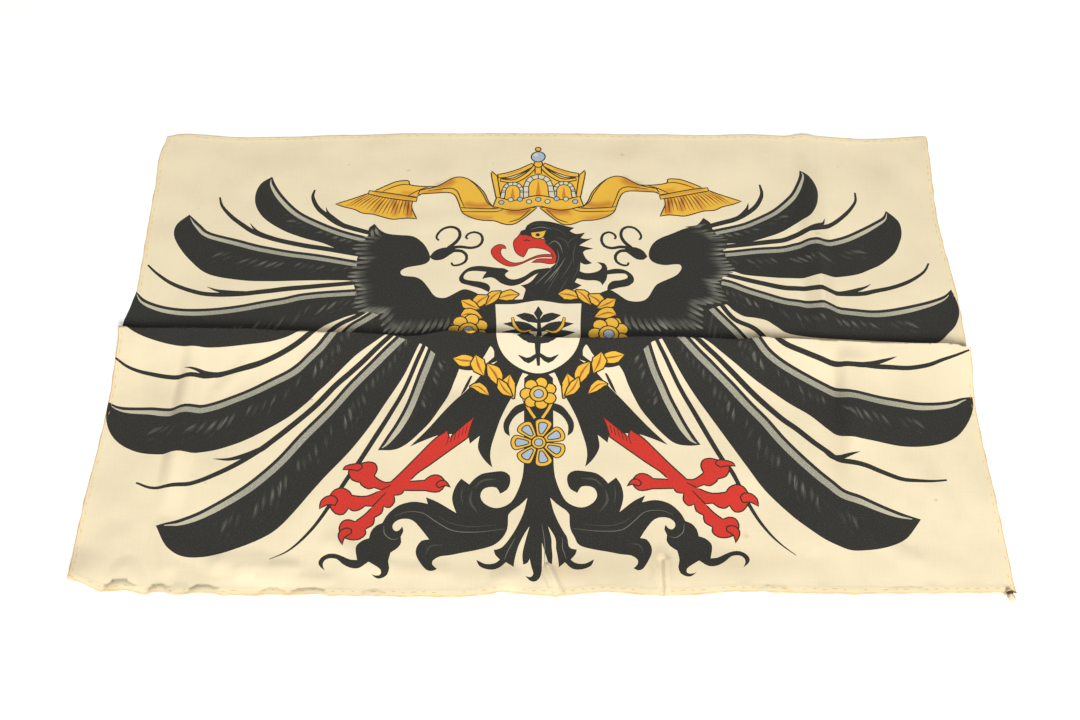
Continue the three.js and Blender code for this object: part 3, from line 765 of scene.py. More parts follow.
def coronet(target):
    """A plain coronet: a jewelled band, three round-headed panels and two arches under a ball."""
    target.outlined("gold", outline([(-33, 149)], [(-20, 148), (0, 158), (20, 148), (33, 149)], [(31, 124)],
                                    [(-31, 124)]))
    for side in (-1, 1):
        half = Half(target, side)
        half.outlined("gold", outline([(31, 122)], [(33.5, 136), (36, 150), (36, 155)], [(31.5, 150)],
                                      [(28, 124)]))
        half.outlined("gold", blade([(31, 150), (24, 151), (14, 155), (4, 161)], [3.5, 4.6, 4.2, 3.4]))
        half.outlined("gold", blade([(29, 146), (18, 145), (8, 152), (2, 160)], [2.4, 3.4, 2.8]))
        half.ink("amber", blade([(24, 151), (12, 156.5)], [0.8, 1.6, 0.6]))
        panel(half, 19.5, 8.6, 22)
    panel(target, 0, 11.4, 29)
    band = [(-33, 122), (-18, 118.5), (0, 123), (18, 118.5), (33, 122)]
    target.outlined("gold", blade(np.array(band) + (0, 2.2), [10, 10.5, 10.5, 10]))
    for k in range(9):
        x = -28 + 7 * k
        y = 125 - 2.2 * np.cos(x / 33 * 2 * np.pi) * (abs(x) > 4) + (1.6 if abs(x) < 4 else 0)
        target.outlined("pale" if k % 2 else "blue", disc(x, y, 2.1, 10), 0.7)
    target.outlined("gold", blade([(0, 152), (0, 162)], [5, 4.4]))
    target.outlined("gold", disc(0, 161.5, 3.4, 14))
    target.outlined("blue", disc(0, 169, 5.4, 20))
    target.ink("pale", disc(-1.8, 171, 1.8, 10))
    target.outlined("gold", disc(0, 177, 2.2, 12))


SHIELD = [[(-18, 28), (-8, 30), (0, 31.2), (8, 30), (18, 28), (31, 28)], [(30, 10), (29.5, -12), (26, -24),
    (19, -32.5), (9, -38.5), (0, -40.5), (-9, -38.5), (-19, -32.5), (-26, -24), (-29.5, -12), (-30, 10),
    (-31, 28)]]


def shield(target):
    """A plain pale shield with a leafy sprig."""
    target.ink("black", grown(outline(*SHIELD), 1.6))
    target.ink("bright", outline(*SHIELD))
    target.ink("black", blade([(0, 22), (0.6, 0), (-0.5, -20), (0, -35)], [1.6, 3.4, 4.4, 2.0]))
    target.ink("black", blade([(0, 14), (0, 20), (0, 26)], [1, 6.5, 0.4]))
    for side in (-1, 1):
        half = Half(target, side)
        for k, reach in enumerate((16, 25, 26, 22, 15)):
            y = 12 - 7.5 * k
            leaf = [(0.5, y), (reach * 0.5, y + 4.5), (reach, y + 6)]
            half.ink("black", blade(leaf, [2.0, 7.4, 6.4, 0.4]))
        half.outlined("gold", blade([(5, 5), (12, 3.5), (17, 9), (18.5, 16)], [1.2, 2.2, 2.6, 1.6]), 0.6)
        half.ink("black", blade([(0, -26), (7, -31), (14, -27)], [2.0, 4.4, 0.5]))


def rosette(target, x, y, radius, petals):
    """A round boss with a ring of round petals."""
    reach = radius * 1.35
    for k in range(petals):
        turn = 2 * np.pi * (k + 0.5) / petals
        target.outlined("gold", disc(x + reach * math.cos(turn), y + reach * math.sin(turn),
                                     reach * 1.25 * math.sin(np.pi / petals), 12))
    target.outlined("gold", disc(x, y, radius, 18))
    target.outlined("blue", disc(x, y, radius * 0.55, 12), 0.7)


COLLAR_LEAVES = [([(14, 37), (22, 36), (30, 33)], 7.5), ([(27, 40), (33, 35), (38, 27)], 7), ([(36, 36),
    (43, 31), (46, 24)], 8), ([(56, 32), (50, 28), (42, 24)], 7), ([(56, 18), (50, 20), (40, 16)], 8),
    ([(60, 8), (54, 12), (46, 10)], 6.5), ([(60, -28), (52, -30), (42, -31)], 7.5), ([(44, -26), (42, -34),
    (38, -42)], 8), ([(48, -50), (42, -50), (34, -57)], 5.5), ([(36, -33), (30, -41), (27, -50)], 8),
    ([(20, -41), (21, -50), (17, -60)], 8), ([(28, -44), (24, -52), (18, -58)], 6)]


PENDANT_PLACE = np.array([0.0, -95.0])
PENDANT_PETALS = 7
# Half a petal's outline, as distances out from the middle and to the side.
PENDANT_PETAL = [(4, 1.6), (10, 4.2), (15.5, 5.8), (18, 3.6), (18.8, 0)]
PENDANT_INLAY = [(7, 1.0), (10.5, 2.3), (14.5, 3.1), (15.6, 1.8), (16, 0)]


def collar(target):
    """A chain of plain gold leaves and bosses round the shield, with a rosette that hangs from it."""
    for side in (-1, 1):
        half = Half(target, side)
        for line, width in COLLAR_LEAVES:
            half.outlined("gold", blade(line, [0.9, width * 1.3, width * 1.15, 0.9]))
            half.ink("amber", blade(line, [0.3, width * 0.25, 0.3]))
            half.ink("brown", blade(line, [0.3, 0.7, 0.3]))
        half.ink("line", blade([(10, -60), (7, -68), (2.5, -76)], [3, 3]))
        half.ink("gold", blade([(10, -60), (7, -68), (2.5, -76)], [1.9, 1.9]))
    for x, y, radius in ((-50, 5, 7.2), (50, 1, 7.2), (0, -56, 6.2)):
        rosette(target, x, y, radius, 7)
    for k in range(PENDANT_PETALS):
        turn = 2 * np.pi * (k + 0.5) / PENDANT_PETALS
        tip, side = np.array([math.cos(turn), math.sin(turn)]), np.array([-math.sin(turn), math.cos(turn)])
        for name, points in (("gold", PENDANT_PETAL), ("blue", PENDANT_INLAY)):
            both = points + [(reach, -half) for reach, half in points[::-1] if half]
            target.outlined(name, outline([PENDANT_PLACE + tip * reach + side * half
                                           for reach, half in both]), 0.8)
    target.outlined("gold", disc(*PENDANT_PLACE, 5, 18))
    target.outlined("blue", disc(*PENDANT_PLACE, 2.9, 14), 0.7)


def draw_print():
    target = Print()
    for side in (-1, 1):
        half = Half(target, side)
        wing(half)
        thigh(half)
        scrolls(half)
        tail(half)
        leg(half)
        ribbon_half(half)
    target.ink("black", outline([(1, -150), (2, -170), (1.8, -190), (0, -196), (-3, -197.5), (-6, -196.5),
                                 (-8.5, -193.5)], [(-5.5, -194.3), (-3.5, -192), (-5, -186), (-6, -178),
                                                   (-5, -165), (-3, -150)]))
    head(target)
    coronet(target)
    collar(target)
    shield(target)
    return target


# ---------------------------------------------------------------- small marks of age, and painted shade

# Specks and stains on the flat cloth: x, y, half-lengths, how dark. The two long thin stains at x 200
# are painted shade along the slopes of the right crease, and the broad ones along the front hem, with the
# wide band above them, make the cloth darker towards its front edge.
SPECKS = [(185, 46, 1.6, 1.2, 0.5), (-158, -58, 0.9, 0.9, 0.8), (260, -133, 1.5, 1.2, 0.45),
          (134, -160, 3.6, 1.3, 0.3), (60, 176, 2.6, 1.2, 0.4), (-105, 158, 2.4, 0.7, 0.5),
          (-152, 165, 1.1, 0.9, 0.45), (-222, -124, 1.2, 1.2, 0.35), (-122, -74, 0.8, 0.8, 0.6),
          (-40, 166, 1.0, 0.8, 0.3), (226, 164, 1.2, 0.9, 0.3), (-262, 120, 1.2, 1.0, 0.3)]
STAINS_AND_SHADE = [(60, 178, 30, 14, 0.10), (-200, 170, 46, 16, 0.06), (150, -178, 60, 12, 0.07),
          (-60, -186, 80, 9, 0.10), (70, -182, 130, 22, 0.16), (10, -150, 260, 34, 0.07),
          (255, -60, 26, 60, 0.05), (-262, -60, 26, 50, 0.07), (20, -184, 22, 12, 0.16),
          (200, 130, 9, 60, 0.08), (200, -90, 10, 70, 0.08)]


def soil(x, y, flat):
    """How much darker the cloth is made: specks and stains, some painted shade among them, and painted shade
    behind the middle ridge.
    """
    # Painted shade: a dark line just behind the foot of the middle ridge, where its tuck lies in shadow, and
    # a faint broader painted shadow round it.
    behind = y - fold_line(x) - 2.7
    total = 0.6 * hump(behind, 2.0) + 0.16 * hump(behind, 7)
    for cx, cy, rx, ry, depth in SPECKS + STAINS_AND_SHADE:
        total = total + depth * hump(np.hypot((flat[:, 0] - cx) / rx, (flat[:, 1] - cy) / ry), 1)
    return total


# ---------------------------------------------------------------- the mesh of the cloth

RING_STEP = 4.0            # the longest side of a print outline in the mesh
EDGE_STEP = 2.6            # the same along the cloth's edge
FILL_STEP = 4.4            # the mesh where nothing is drawn
CELL = 1.5                 # filling points keep this far from outlines
FINE_CELL = 0.5            # those of soft marks and specks may come this near
HEM_ROWS = (0.3, 0.9, 2.0, 3.4, 3.8, 4.4, 5.8)
# Rows of points along the middle ridge, as distances in front of its line.
FOLD_ROWS = (-8, -6.2, -5, -4.2, -3.4, -2.6, -1.6, -0.8, 0, 0.6, 1.2, 1.8, 2.4, 3, 3.6, 4.6, 6.2, 8.6)
# Closer grids over the cross creases and the puckers: from and to in x, in y, and both steps.
CLOSE_GRIDS = [(-258, -230, -158, 6, 2.2, 3.6), (190, 222, -190, 192, 2.2, 3.6),
               (-300, -130, -196, -160, 2.2, 2.2)]


def spaced(ring, step, closed=True):
    """A run of points with none further apart than the step."""
    ends = np.roll(ring, -1, 0) if closed else ring[1:]
    starts = ring if closed else ring[:-1]
    pieces = []
    for a, b in zip(starts, ends):
        count = max(1, int(np.ceil(np.hypot(*(b - a)) / step)))
        pieces.append(a + (b - a) * (np.arange(count) / count)[:, None])
    return np.vstack(pieces + ([] if closed else [ring[-1:]]))


def inside(ring, points):
    """Which points are within a ring that may wind over itself."""
    found = np.zeros(len(points), bool)
    near = np.all((points >= ring.min(0)) & (points <= ring.max(0)), 1)
    x, y = points[near].T
    winding = np.zeros(len(x), int)
    for (x0, y0), (x1, y1) in zip(ring, np.roll(ring, -1, 0)):
        side = (x1 - x0) * (y - y0) - (x - x0) * (y1 - y0)
        winding += (y0 <= y) & (y1 > y) & (side > 0)
        winding -= (y0 > y) & (y1 <= y) & (side < 0)
    found[near] = winding != 0
    return found


def corner(side_edge, cross_edge, x):
    """Where two edges of the cloth meet, from a first guess of x."""
    for _ in range(4):
        y = float(along(cross_edge, x))
        x = float(along(side_edge, y))
    return x, y


def cloth_outline():
    """The cloth's outline over the table, anticlockwise from its left front corner."""
    front_left, front_right = corner(LEFT_EDGE, LOWER_EDGE, -300), corner(RIGHT_EDGE, LOWER_EDGE, 300)
    back_left, back_right = corner(LEFT_EDGE, UPPER_EDGE, -300), corner(RIGHT_EDGE, UPPER_EDGE, 300)

    sides = []
    for edge, start, end, axis in (
            (LOWER_EDGE, front_left, front_right, 0), (RIGHT_EDGE, front_right, back_right, 1),
            (UPPER_EDGE, back_right, back_left, 0), (LEFT_EDGE, back_left, front_left, 1)):
        count = int(abs(end[axis] - start[axis]) / EDGE_STEP)
        place = np.linspace(start[axis], end[axis], count, endpoint=False)
        wave = EDGE_WAVE * np.sin(place / EDGE_WAVE_REACH) * np.sin(place / EDGE_SWAY_REACH)
        where = along(edge, place) + wave
        sides.append(np.stack([where, place] if axis else [place, where], 1))
    return np.vstack(sides)


def grid(x0, x1, y0, y1, step_x, step_y):
    """Points over a rectangle, every other row moved by half a step."""
    rows = np.arange(y0, y1, step_y)
    columns = np.arange(x0, x1, step_x)
    x = columns[None, :] + (np.arange(len(rows)) % 2)[:, None] * step_x / 2
    return np.stack([x.ravel(), np.repeat(rows, len(columns))], 1)


def filling():
    """The points that carry the folds where no outline runs, over the table."""
    parts = [grid(-300, 300, -196, 198, FILL_STEP, FILL_STEP)]
    x = np.arange(-298, 298, 2.8)
    parts += [np.stack([x, fold_line(x) - forward], 1) for forward in FOLD_ROWS]
    parts += [grid(*close) for close in CLOSE_GRIDS]
    for start, end, half, _ in CREASES:
        line = spaced(np.array([start, end], float), 2.0, closed=False)
        for share in (-1.2, -0.5, 0, 0.5, 1.2):
            parts.append(line + normals_of(line) * share * half)
    for cx, half, depth, _ in PUCKERS:
        parts.append(grid(cx - half, cx + half, -197, -197 + 2 * depth, 1.6, 1.4))
    return np.vstack(parts)


def mark_points(marks):
    parts = []
    for x0, y0, x1, y1, width, _ in marks:
        line = spaced(np.array([(x0, y0), (x1, y1)]), 0.8 + 0.4 * width, closed=False)[:-1]
        side = np.array([y0 - y1, x1 - x0]) / max(math.hypot(x1 - x0, y1 - y0), 1e-6)
        parts += [line + side * width * reach for reach in (-1.3, -0.65, 0, 0.65, 1.3)]
    return np.vstack(parts)


def print_to_flat(points):
    """From the print's own millimetres to the flat cloth."""
    turn = np.array([[math.cos(PRINT_TURN), math.sin(PRINT_TURN)],
                     [-math.sin(PRINT_TURN), math.cos(PRINT_TURN)]])
    return np.asarray(points) @ turn + (PRINT_X, PRINT_Y)


def net_of(rings, *extras):
    """A triangle net of the flat cloth with every ring's edges in it, and extra points that keep
    their own distance from them and from each other."""
    points = np.vstack(rings)
    edges, first = [], 0
    for ring in rings:
        count = len(ring)
        edges += [(first + k, first + (k + 1) % count) for k in range(count)]
        first += count
    for extra, distance in extras:
        dense = np.vstack([spaced(ring, distance / 2) for ring in rings])
        taken = {tuple(cell) for cell in np.round(dense / distance).astype(int)}
        taken |= {tuple(cell) for cell in np.round(points / distance).astype(int)}
        free = []
        for point, cell in zip(extra, np.round(extra / distance).astype(int)):
            if tuple(cell) not in taken:
                taken.add(tuple(cell))
                free.append(point)
        points = np.vstack([points, free])
    corners, _, triangles, _, _, _ = delaunay_2d_cdt([Vector(point) for point in points.tolist()],
                                                     edges, [], 0, 0.004)
    return np.array([tuple(corner) for corner in corners]), np.array(triangles)


def nearest_on(line, points):
    """For each point: how far along a line its nearest place is, and how far away that is."""
    steps = np.concatenate([[0], np.cumsum(np.hypot(*np.diff(line, axis=0).T))])
    best, place = np.full(len(points), 1e9), np.zeros(len(points))
    for k, (a, b) in enumerate(zip(line[:-1], line[1:])):
        length = np.hypot(*(b - a))
        if length < 1e-6:
            continue
        share = np.clip((points - a) @ (b - a) / length ** 2, 0, 1)
        away = np.hypot(*(points - a - share[:, None] * (b - a)).T)
        closer = away < best
        best[closer], place[closer] = away[closer], (steps[k] + share * length)[closer]
    return place, best


# Each ink of the print: its colour, the colour that soft marks bring to it, and how far the threads
# show through it.
INKS = {
    "ground": ("#E6D8B8", "#B9A888", 0.05),
    "black": ("#2B2B28", "#9D9C8F", 0.03),
    "plume": ("#2B2B28", "#A9A899", 0.03),
    "pale_light": ("#6F6E65", "#9D9C8F", 0.05),
    "dim_light": ("#464640", "#9D9C8F", 0.03),
    "grey": ("#949384", "#C9C4AE", 0.5),
    "pale": ("#CFC9B4", "#8F8E86", 0.12),
    "bright": ("#E8DCBF", "#A8A08C", 0.05),
    "red": ("#C93228", "#8E1D14", 0.04),
    "gold": ("#E4B23B", "#B8681F", 0.08),
    "amber": ("#C77E26", "#8A4A18", 0.10),
    "brown": ("#8F5822", "#5A3214", 0.08),
    "line": ("#33271B", "#33271B", 0.05),
    "blue": ("#A3B4C6", "#7E8C9B", 0.12),
}
KINDS = ("feather", "covert", "band")


def linear(code, alpha=1.0):
    """The linear colour of an sRGB hex value."""
    values = [int(code[k:k + 2], 16) / 255 for k in (1, 3, 5)]
    return (*(v / 12.92 if v <= 0.04045 else ((v + 0.055) / 1.055) ** 2.4 for v in values), alpha)


def material_slots(piece, *materials):
    for material in materials:
        piece.data.materials.append(material)


def make_object(name, mesh):
    piece = bpy.data.objects.new(name, mesh)
    bpy.context.scene.collection.objects.link(piece)
    return piece


# The CAD cloth's box gives the place of the sheet in the frame.
cad_low, cad_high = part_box("flag_cloth")
PLACE_X = cad_low[0] / MM - min(x for _, x in LEFT_EDGE)
PLACE_Y = cad_high[1] / MM - max(y for _, y in UPPER_EDGE)


def to_frame(points):
    """From the drape's millimetres to the frame's metres."""
    return (np.asarray(points, float) + (PLACE_X, PLACE_Y, 0)) * MM


def surface_normals(x, y, height):
    step = 0.05
    slope_x = (height(x + step, y) - height(x - step, y)) / (2 * step)
    slope_y = (height(x, y + step) - height(x, y - step)) / (2 * step)
    normals = np.stack([-slope_x, -slope_y, np.ones_like(slope_x)], 1)
    return normals / np.linalg.norm(normals, axis=1)[:, None]


def top_side(x, y):
    """The height of the cloth's upper side. A steep stretch is thicker upright, up to twice."""
    upright = surface_normals(x, y, underside)[:, 2]
    return underside(x, y) + thickness(x, y) * np.minimum(1 / upright, 2)


def attribute(mesh, name, kind, domain, values):
    layer = mesh.attributes.new(name, kind, domain)
    field = {"FLOAT": "value", "FLOAT_VECTOR": "vector", "FLOAT_COLOR": "color"}[kind]
    layer.data.foreach_set(field, np.asarray(values, np.float32).ravel())


def soft_marks(marks, flat):
    """How strongly the soft brush marks show at each point."""
    total = np.zeros(len(flat))
    for x0, y0, x1, y1, width, strength in marks:
        away = distance_to((x0, y0), (x1, y1), flat[:, 0], flat[:, 1])
        total = np.maximum(total, strength * hump(away, 1.3 * width))
    return total


def make_cloth():
    """The cloth as one closed mesh, with the print as the inks of its faces."""
    drawn = draw_print()
    layers = [(ink, spaced(print_to_flat(ring), RING_STEP), guide and
               (guide[0], *(print_to_flat(border) for border in guide[1:])))
              for ink, ring, guide in drawn.layers]
    marks = [(*print_to_flat([(x0, y0)])[0], *print_to_flat([(x1, y1)])[0], width, strength)
             for x0, y0, x1, y1, width, strength in drawn.marks]
    outline_plan = cloth_outline()
    edge = plan_to_flat(outline_plan)
    hem_rows = [plan_to_flat(grown(outline_plan, -distance)) for distance in HEM_ROWS]
    specks = np.vstack([np.array([(cx, cy)]) + disc(0, 0, 1, 6) * (rx, ry) * share
                        for cx, cy, rx, ry, _ in SPECKS for share in (0.05, 0.6, 1.1)])
    fine = np.vstack([specks, mark_points(marks)])
    coarse = plan_to_flat(filling())
    rings = [edge] + hem_rows + [ring for _, ring, _ in layers]
    flat, triangles = net_of(rings, (fine[inside(hem_rows[-1], fine)], FINE_CELL),
                             (coarse[inside(hem_rows[-1], coarse)], CELL))

    # Only what lies within the cloth is kept.
    triangles = triangles[inside(edge, flat[triangles].mean(1))]
    used, triangles = np.unique(triangles, return_inverse=True)
    flat, triangles = flat[used], triangles.reshape(-1, 3)
    plan = flat_to_plan(flat)
    x, y = plan.T

    # The ink of each triangle is that of the last layer that covers it.
    centres = flat[triangles].mean(1)
    cover = np.full(len(centres), -1)
    for k, (_, ring, _) in enumerate(layers):
        cover[inside(ring, centres)] = k
    names = ["ground"] + [ink for ink, _, _ in layers]
    colours = np.array([linear(INKS[name][0], INKS[name][2]) for name in names])[cover + 1]
    # The alpha of the mark colour says where the cloth is bare.
    mark_colours = np.array([linear(INKS[name][1], name == "ground") for name in names])[cover + 1]
    strokes, kinds = np.zeros((len(triangles), 3, 3)), np.zeros((len(triangles), 3))
    for k, (_, _, guide) in enumerate(layers):
        if guide and np.any(cover == k):
            kind, upper, lower = guide
            chosen = np.flatnonzero(cover == k)
            points, back = np.unique(triangles[chosen], return_inverse=True)
            place, away = nearest_on(upper, flat[points])
            _, rest = nearest_on(lower, flat[points])
            strokes[chosen] = np.stack([place, away, away / (away + rest + 1e-6)], 1)[back].reshape(-1, 3, 3)
            kinds[chosen] = [kind == one for one in KINDS]

    # Two sheets of the same net, and a wall round the edge.
    count = len(flat)
    low, high = underside(x, y), top_side(x, y)
    sides = np.sort(triangles[:, [0, 1, 1, 2, 2, 0]].reshape(-1, 2), 1)
    directed = triangles[:, [0, 1, 1, 2, 2, 0]].reshape(-1, 2)
    _, first, uses = np.unique(sides, axis=0, return_index=True, return_counts=True)
    rim = directed[first[uses == 1]]
    wall = np.stack([rim[:, 1], rim[:, 0], rim[:, 0] + count, rim[:, 1] + count], 1)
    points = to_frame(np.vstack([np.column_stack([x, y, high]), np.column_stack([x, y, low])]))
    faces = triangles.tolist() + (triangles[:, ::-1] + count).tolist() + wall.tolist()
    mesh = bpy.data.meshes.new("flag_silk")
    mesh.from_pydata(points.tolist(), [], faces)

    def corners(per_face, per_wall):
        """Values per corner of both sheets and of the wall."""
        return np.vstack([per_face.reshape(len(triangles) * 3, -1),
                          per_face[:, ::-1].reshape(len(triangles) * 3, -1),
                          np.tile(per_wall, (len(wall) * 4, 1))])

    def spread(values):
        return np.repeat(values[:, None, :], 3, 1)

    attribute(mesh, "ink", "FLOAT_COLOR", "CORNER",
              corners(spread(colours), linear(INKS["ground"][0], INKS["ground"][2])))
    attribute(mesh, "mark", "FLOAT_COLOR", "CORNER",
              corners(spread(mark_colours), linear(INKS["ground"][1])))
    attribute(mesh, "stroke", "FLOAT_VECTOR", "CORNER", corners(strokes, (0, 0, 0)))
    attribute(mesh, "kind", "FLOAT_VECTOR", "CORNER", corners(spread(kinds), (0, 0, 0)))
    attribute(mesh, "soft", "FLOAT", "POINT", np.tile(soft_marks(marks, flat), 2))
    attribute(mesh, "edge", "FLOAT", "POINT", np.tile(edge_distance(x, y), 2))
    # This attribute carries specks and stains together with the painted shade behind the middle ridge and
    # along the right crease.
    attribute(mesh, "soil", "FLOAT", "POINT", np.tile(soil(x, y, flat), 2))
    low_corner, span = flat.min(0), np.ptp(flat, axis=0)
    place = np.tile((flat - low_corner) / span, (2, 1))
    loops = np.zeros(len(mesh.loops), int)
    mesh.loops.foreach_get("vertex_index", loops)
    mesh.uv_layers.new(name="OFBake").data.foreach_set("uv", place[loops].astype(np.float32).ravel())
    mesh.shade_smooth()
    normals = np.vstack([surface_normals(x, y, top_side), -surface_normals(x, y, underside)])
    mesh.normals_split_custom_set_from_vertices(normals.tolist())
    return make_object("flag_silk", mesh), span


# ---------------------------------------------------------------- materials

def adder(tree):
    """The function that adds nodes to a tree."""
    def add(kind, settings=None, values=None, links=None):
        """A node with its settings, the values of its inputs, and what feeds the others."""
        node = tree.nodes.new(kind)
        for key, value in (settings or {}).items():
            setattr(node, key, value)
        for key, value in (values or {}).items():
            node.inputs[key].default_value = value
        for key, source in (links or {}).items():
            socket = source if isinstance(source, bpy.types.NodeSocket) else source.outputs[0]
            tree.links.new(socket, node.inputs[key])
        return node

    return add


def new_material(name):
    """A material, and the function that adds nodes to it."""
    material = bpy.data.materials.new(name)
    material.use_nodes = True
    material.node_tree.nodes.clear()
    return material, adder(material.node_tree)


THREAD_PITCH = 0.9         # coarser than the real 0.4 mm silk, so that the weave shows
SLUB_LENGTH = 16.0         # how far a thick stretch of thread runs
WEAVE_RELIEF = 0.03
MOTTLE_LENGTH, HEM_PATCH = 42.0, 9.0
MARK_PITCH, MARK_LEAN, MARK_ROWS = 5.6, 0.8, 2.7
MARK_START, MARK_FULL = 26.0, 44.0   # brush marks keep this far from a feather's tip
COVERT_STROKE, COVERT_STROKE_LENGTH, COVERT_REACH, COVERT_PATCH = 1.2, 14.0, 15.5, 13.0
PALE_TIP_START, PALE_TIP_END = 16.0, 66.0
# Kinds of node and their settings.
MATH, RANGE, NOISE, MIX, BUMP = (
    "ShaderNodeMath", "ShaderNodeMapRange", "ShaderNodeTexNoise", "ShaderNodeMix", "ShaderNodeBump")
TIMES, OVER, LARGER = ({"operation": name} for name in ("MULTIPLY", "DIVIDE", "MAXIMUM"))
SMOOTH, COLOUR = {"interpolation_type": "SMOOTHSTEP"}, {"data_type": "RGBA"}
FLAT = {"noise_dimensions": "2D"}


def printed_silk(span):
    """Fine plain-woven silk, hand-painted through a stencil: matt, with thick and thin threads that
    show in the ink, brush strokes on the feathers, and a hem gone yellow."""
    material, add = new_material("printed_silk")
    flat_map = add("ShaderNodeUVMap", {"uv_map": "OFBake"})

    def over(length_x, length_y, detail=1.0, offset=0.0):
        """Noise on the flat cloth, as long each way as given."""
        scale = (span[0] / length_x, span[1] / length_y, 1)
        place = add("ShaderNodeMapping", values={"Location": (offset, offset, 0), "Scale": scale},
                    links={"Vector": flat_map})
        return add(NOISE, FLAT, {"Scale": 1.0, "Detail": detail, "Roughness": 0.5}, {"Vector": place})

    threads = add(MATH, {"operation": "ADD"}, links={0: over(THREAD_PITCH, SLUB_LENGTH),
                                                     1: over(SLUB_LENGTH, THREAD_PITCH, offset=37.0)})
    grain = add(RANGE, values={"From Min": 0.72, "From Max": 1.28}, links={"Value": threads})
    ink, mark, stroke, kind, soft, edge, dirt_and_shade = (
        add("ShaderNodeAttribute", {"attribute_name": name})
        for name in ("ink", "mark", "stroke", "kind", "soft", "edge", "soil"))
    run, depth, share = add("ShaderNodeSeparateXYZ", links={0: stroke.outputs["Vector"]}).outputs
    feather, covert, band = add("ShaderNodeSeparateXYZ", links={0: kind.outputs["Vector"]}).outputs
    soft, edge, dirt_and_shade = (node.outputs["Fac"] for node in (soft, edge, dirt_and_shade))

    # Feathers: short dry-brush marks that lean across, each in a cell of its own.
    lean = add(MATH, {"operation": "MULTIPLY_ADD"}, {1: MARK_LEAN}, {0: depth, 2: run})
    cell_place = add("ShaderNodeCombineXYZ", links={0: add(MATH, OVER, {1: MARK_PITCH}, {0: lean}),
                                                    1: add(MATH, TIMES, {1: MARK_ROWS}, {0: share})})
    cells = add("ShaderNodeTexVoronoi", {"voronoi_dimensions": "2D"}, {"Scale": 1.0, "Randomness": 0.5},
                {"Vector": cell_place})
    force = add(RANGE, values={"From Min": 0.1, "To Max": 0.5},
                links={"Value": add("ShaderNodeSeparateColor", links={0: cells.outputs["Color"]})})
    bristle_place = add("ShaderNodeMapping", values={"Scale": (6.0, 1.4, 1)}, links={"Vector": cell_place})
    bristles = add(RANGE, values={"From Min": 0.38, "From Max": 0.62, "To Min": 0.1}, links={
        "Value": add(NOISE, FLAT, {"Scale": 1.0, "Detail": 2.0}, {"Vector": bristle_place})})
    # A mark fades out from its middle, off its rows, and towards the feather's tip.
    fades = [add(RANGE, SMOOTH, {"From Min": none, "From Max": full}, {"Value": source})
             for none, full, source in ((0.42, 0.04, cells.outputs["Distance"]), (0.3, 0.45, share),
                                        (0.76, 0.6, share), (MARK_START, MARK_FULL, run))]
    for part in (force, bristles, *fades):
        feather = add(MATH, TIMES, links={0: feather, 1: part})

    # Small feathers: grey at the tip in fine strokes, and black further in.
    hair_place = add("ShaderNodeCombineXYZ", links={
        0: add(MATH, OVER, {1: COVERT_STROKE}, {0: run}),
        1: add(MATH, OVER, {1: COVERT_STROKE_LENGTH}, {0: depth})})
    hairs = add(RANGE, values={"From Min": 0.35, "From Max": 0.65, "To Min": 0.45}, links={
        "Value": add(NOISE, FLAT, {"Scale": 1.0, "Detail": 1.5}, {"Vector": hair_place})})
    patches = add(RANGE, values={"From Min": 0.35, "From Max": 0.62, "To Min": 0.3},
                  links={"Value": over(COVERT_PATCH, COVERT_PATCH, offset=21.0)})
    rim = add(RANGE, values={"From Min": 0.0, "From Max": 2.0, "To Min": 0.35, "To Max": 0.72},
              links={"Value": depth})
    fade = add(RANGE, SMOOTH, {"From Min": COVERT_REACH, "From Max": 1.0}, {"Value": depth})
    for part in (hairs, patches, rim, fade):
        covert = add(MATH, TIMES, links={0: covert, 1: part})

    strokes = add(MATH, LARGER, links={0: add(MATH, LARGER, links={0: feather, 1: covert}), 1: soft})
    painted = add(MIX, COLOUR, links={"Factor": strokes, 6: ink.outputs["Color"],
                                      7: mark.outputs["Color"]}).outputs[2]
    # The grey bands turn pale at the tip, and bare threads show through the ink.
    pale_tip = add(RANGE, SMOOTH, {"From Min": PALE_TIP_END, "From Max": PALE_TIP_START}, {"Value": run})
    pale = add(MATH, TIMES, links={0: band, 1: pale_tip})
    bare = add(RANGE, values={"From Min": 0.52, "From Max": 0.72},
               links={"Value": over(THREAD_PITCH, THREAD_PITCH, detail=2.0, offset=11.0)})
    showing = add(MATH, TIMES, links={0: bare, 1: ink.outputs["Alpha"]})
    # The hem has yellowed where it is bare, most along its folded edge and its seam.
    hem_patch = add(RANGE, values={"From Min": 0.3, "From Max": 0.7, "To Min": 0.4},
                    links={"Value": over(HEM_PATCH, HEM_PATCH, detail=3.0, offset=3.0)})
    yellowed = []
    for none, full, most in ((HEM_WIDTH + 1.6, HEM_WIDTH - 1.2, 0.34), (1.3, 0.3, 0.8)):
        tint = add(RANGE, SMOOTH, {"From Min": none, "From Max": full, "To Max": most}, {"Value": edge})
        for part in (hem_patch, mark.outputs["Alpha"]):
            tint = add(MATH, TIMES, links={0: tint, 1: part})
        yellowed.append(tint)
    for cover, code in zip((pale, showing, *yellowed), ("#BBB59F", "#D9CFB4", "#F2DCA8", "#D2A05E")):
        painted = add(MIX, COLOUR, {7: linear(code)}, {"Factor": cover, 6: painted}).outputs[2]
    # Specks and stains, and the painted shade behind the middle ridge and along the right crease, darken the
    # colour through a brown multiply.
    soiled_and_shaded = add(MIX, {"data_type": "RGBA", "blend_type": "MULTIPLY"}, {7: linear("#94744A")},
                 {"Factor": dirt_and_shade, 6: painted}).outputs[2]

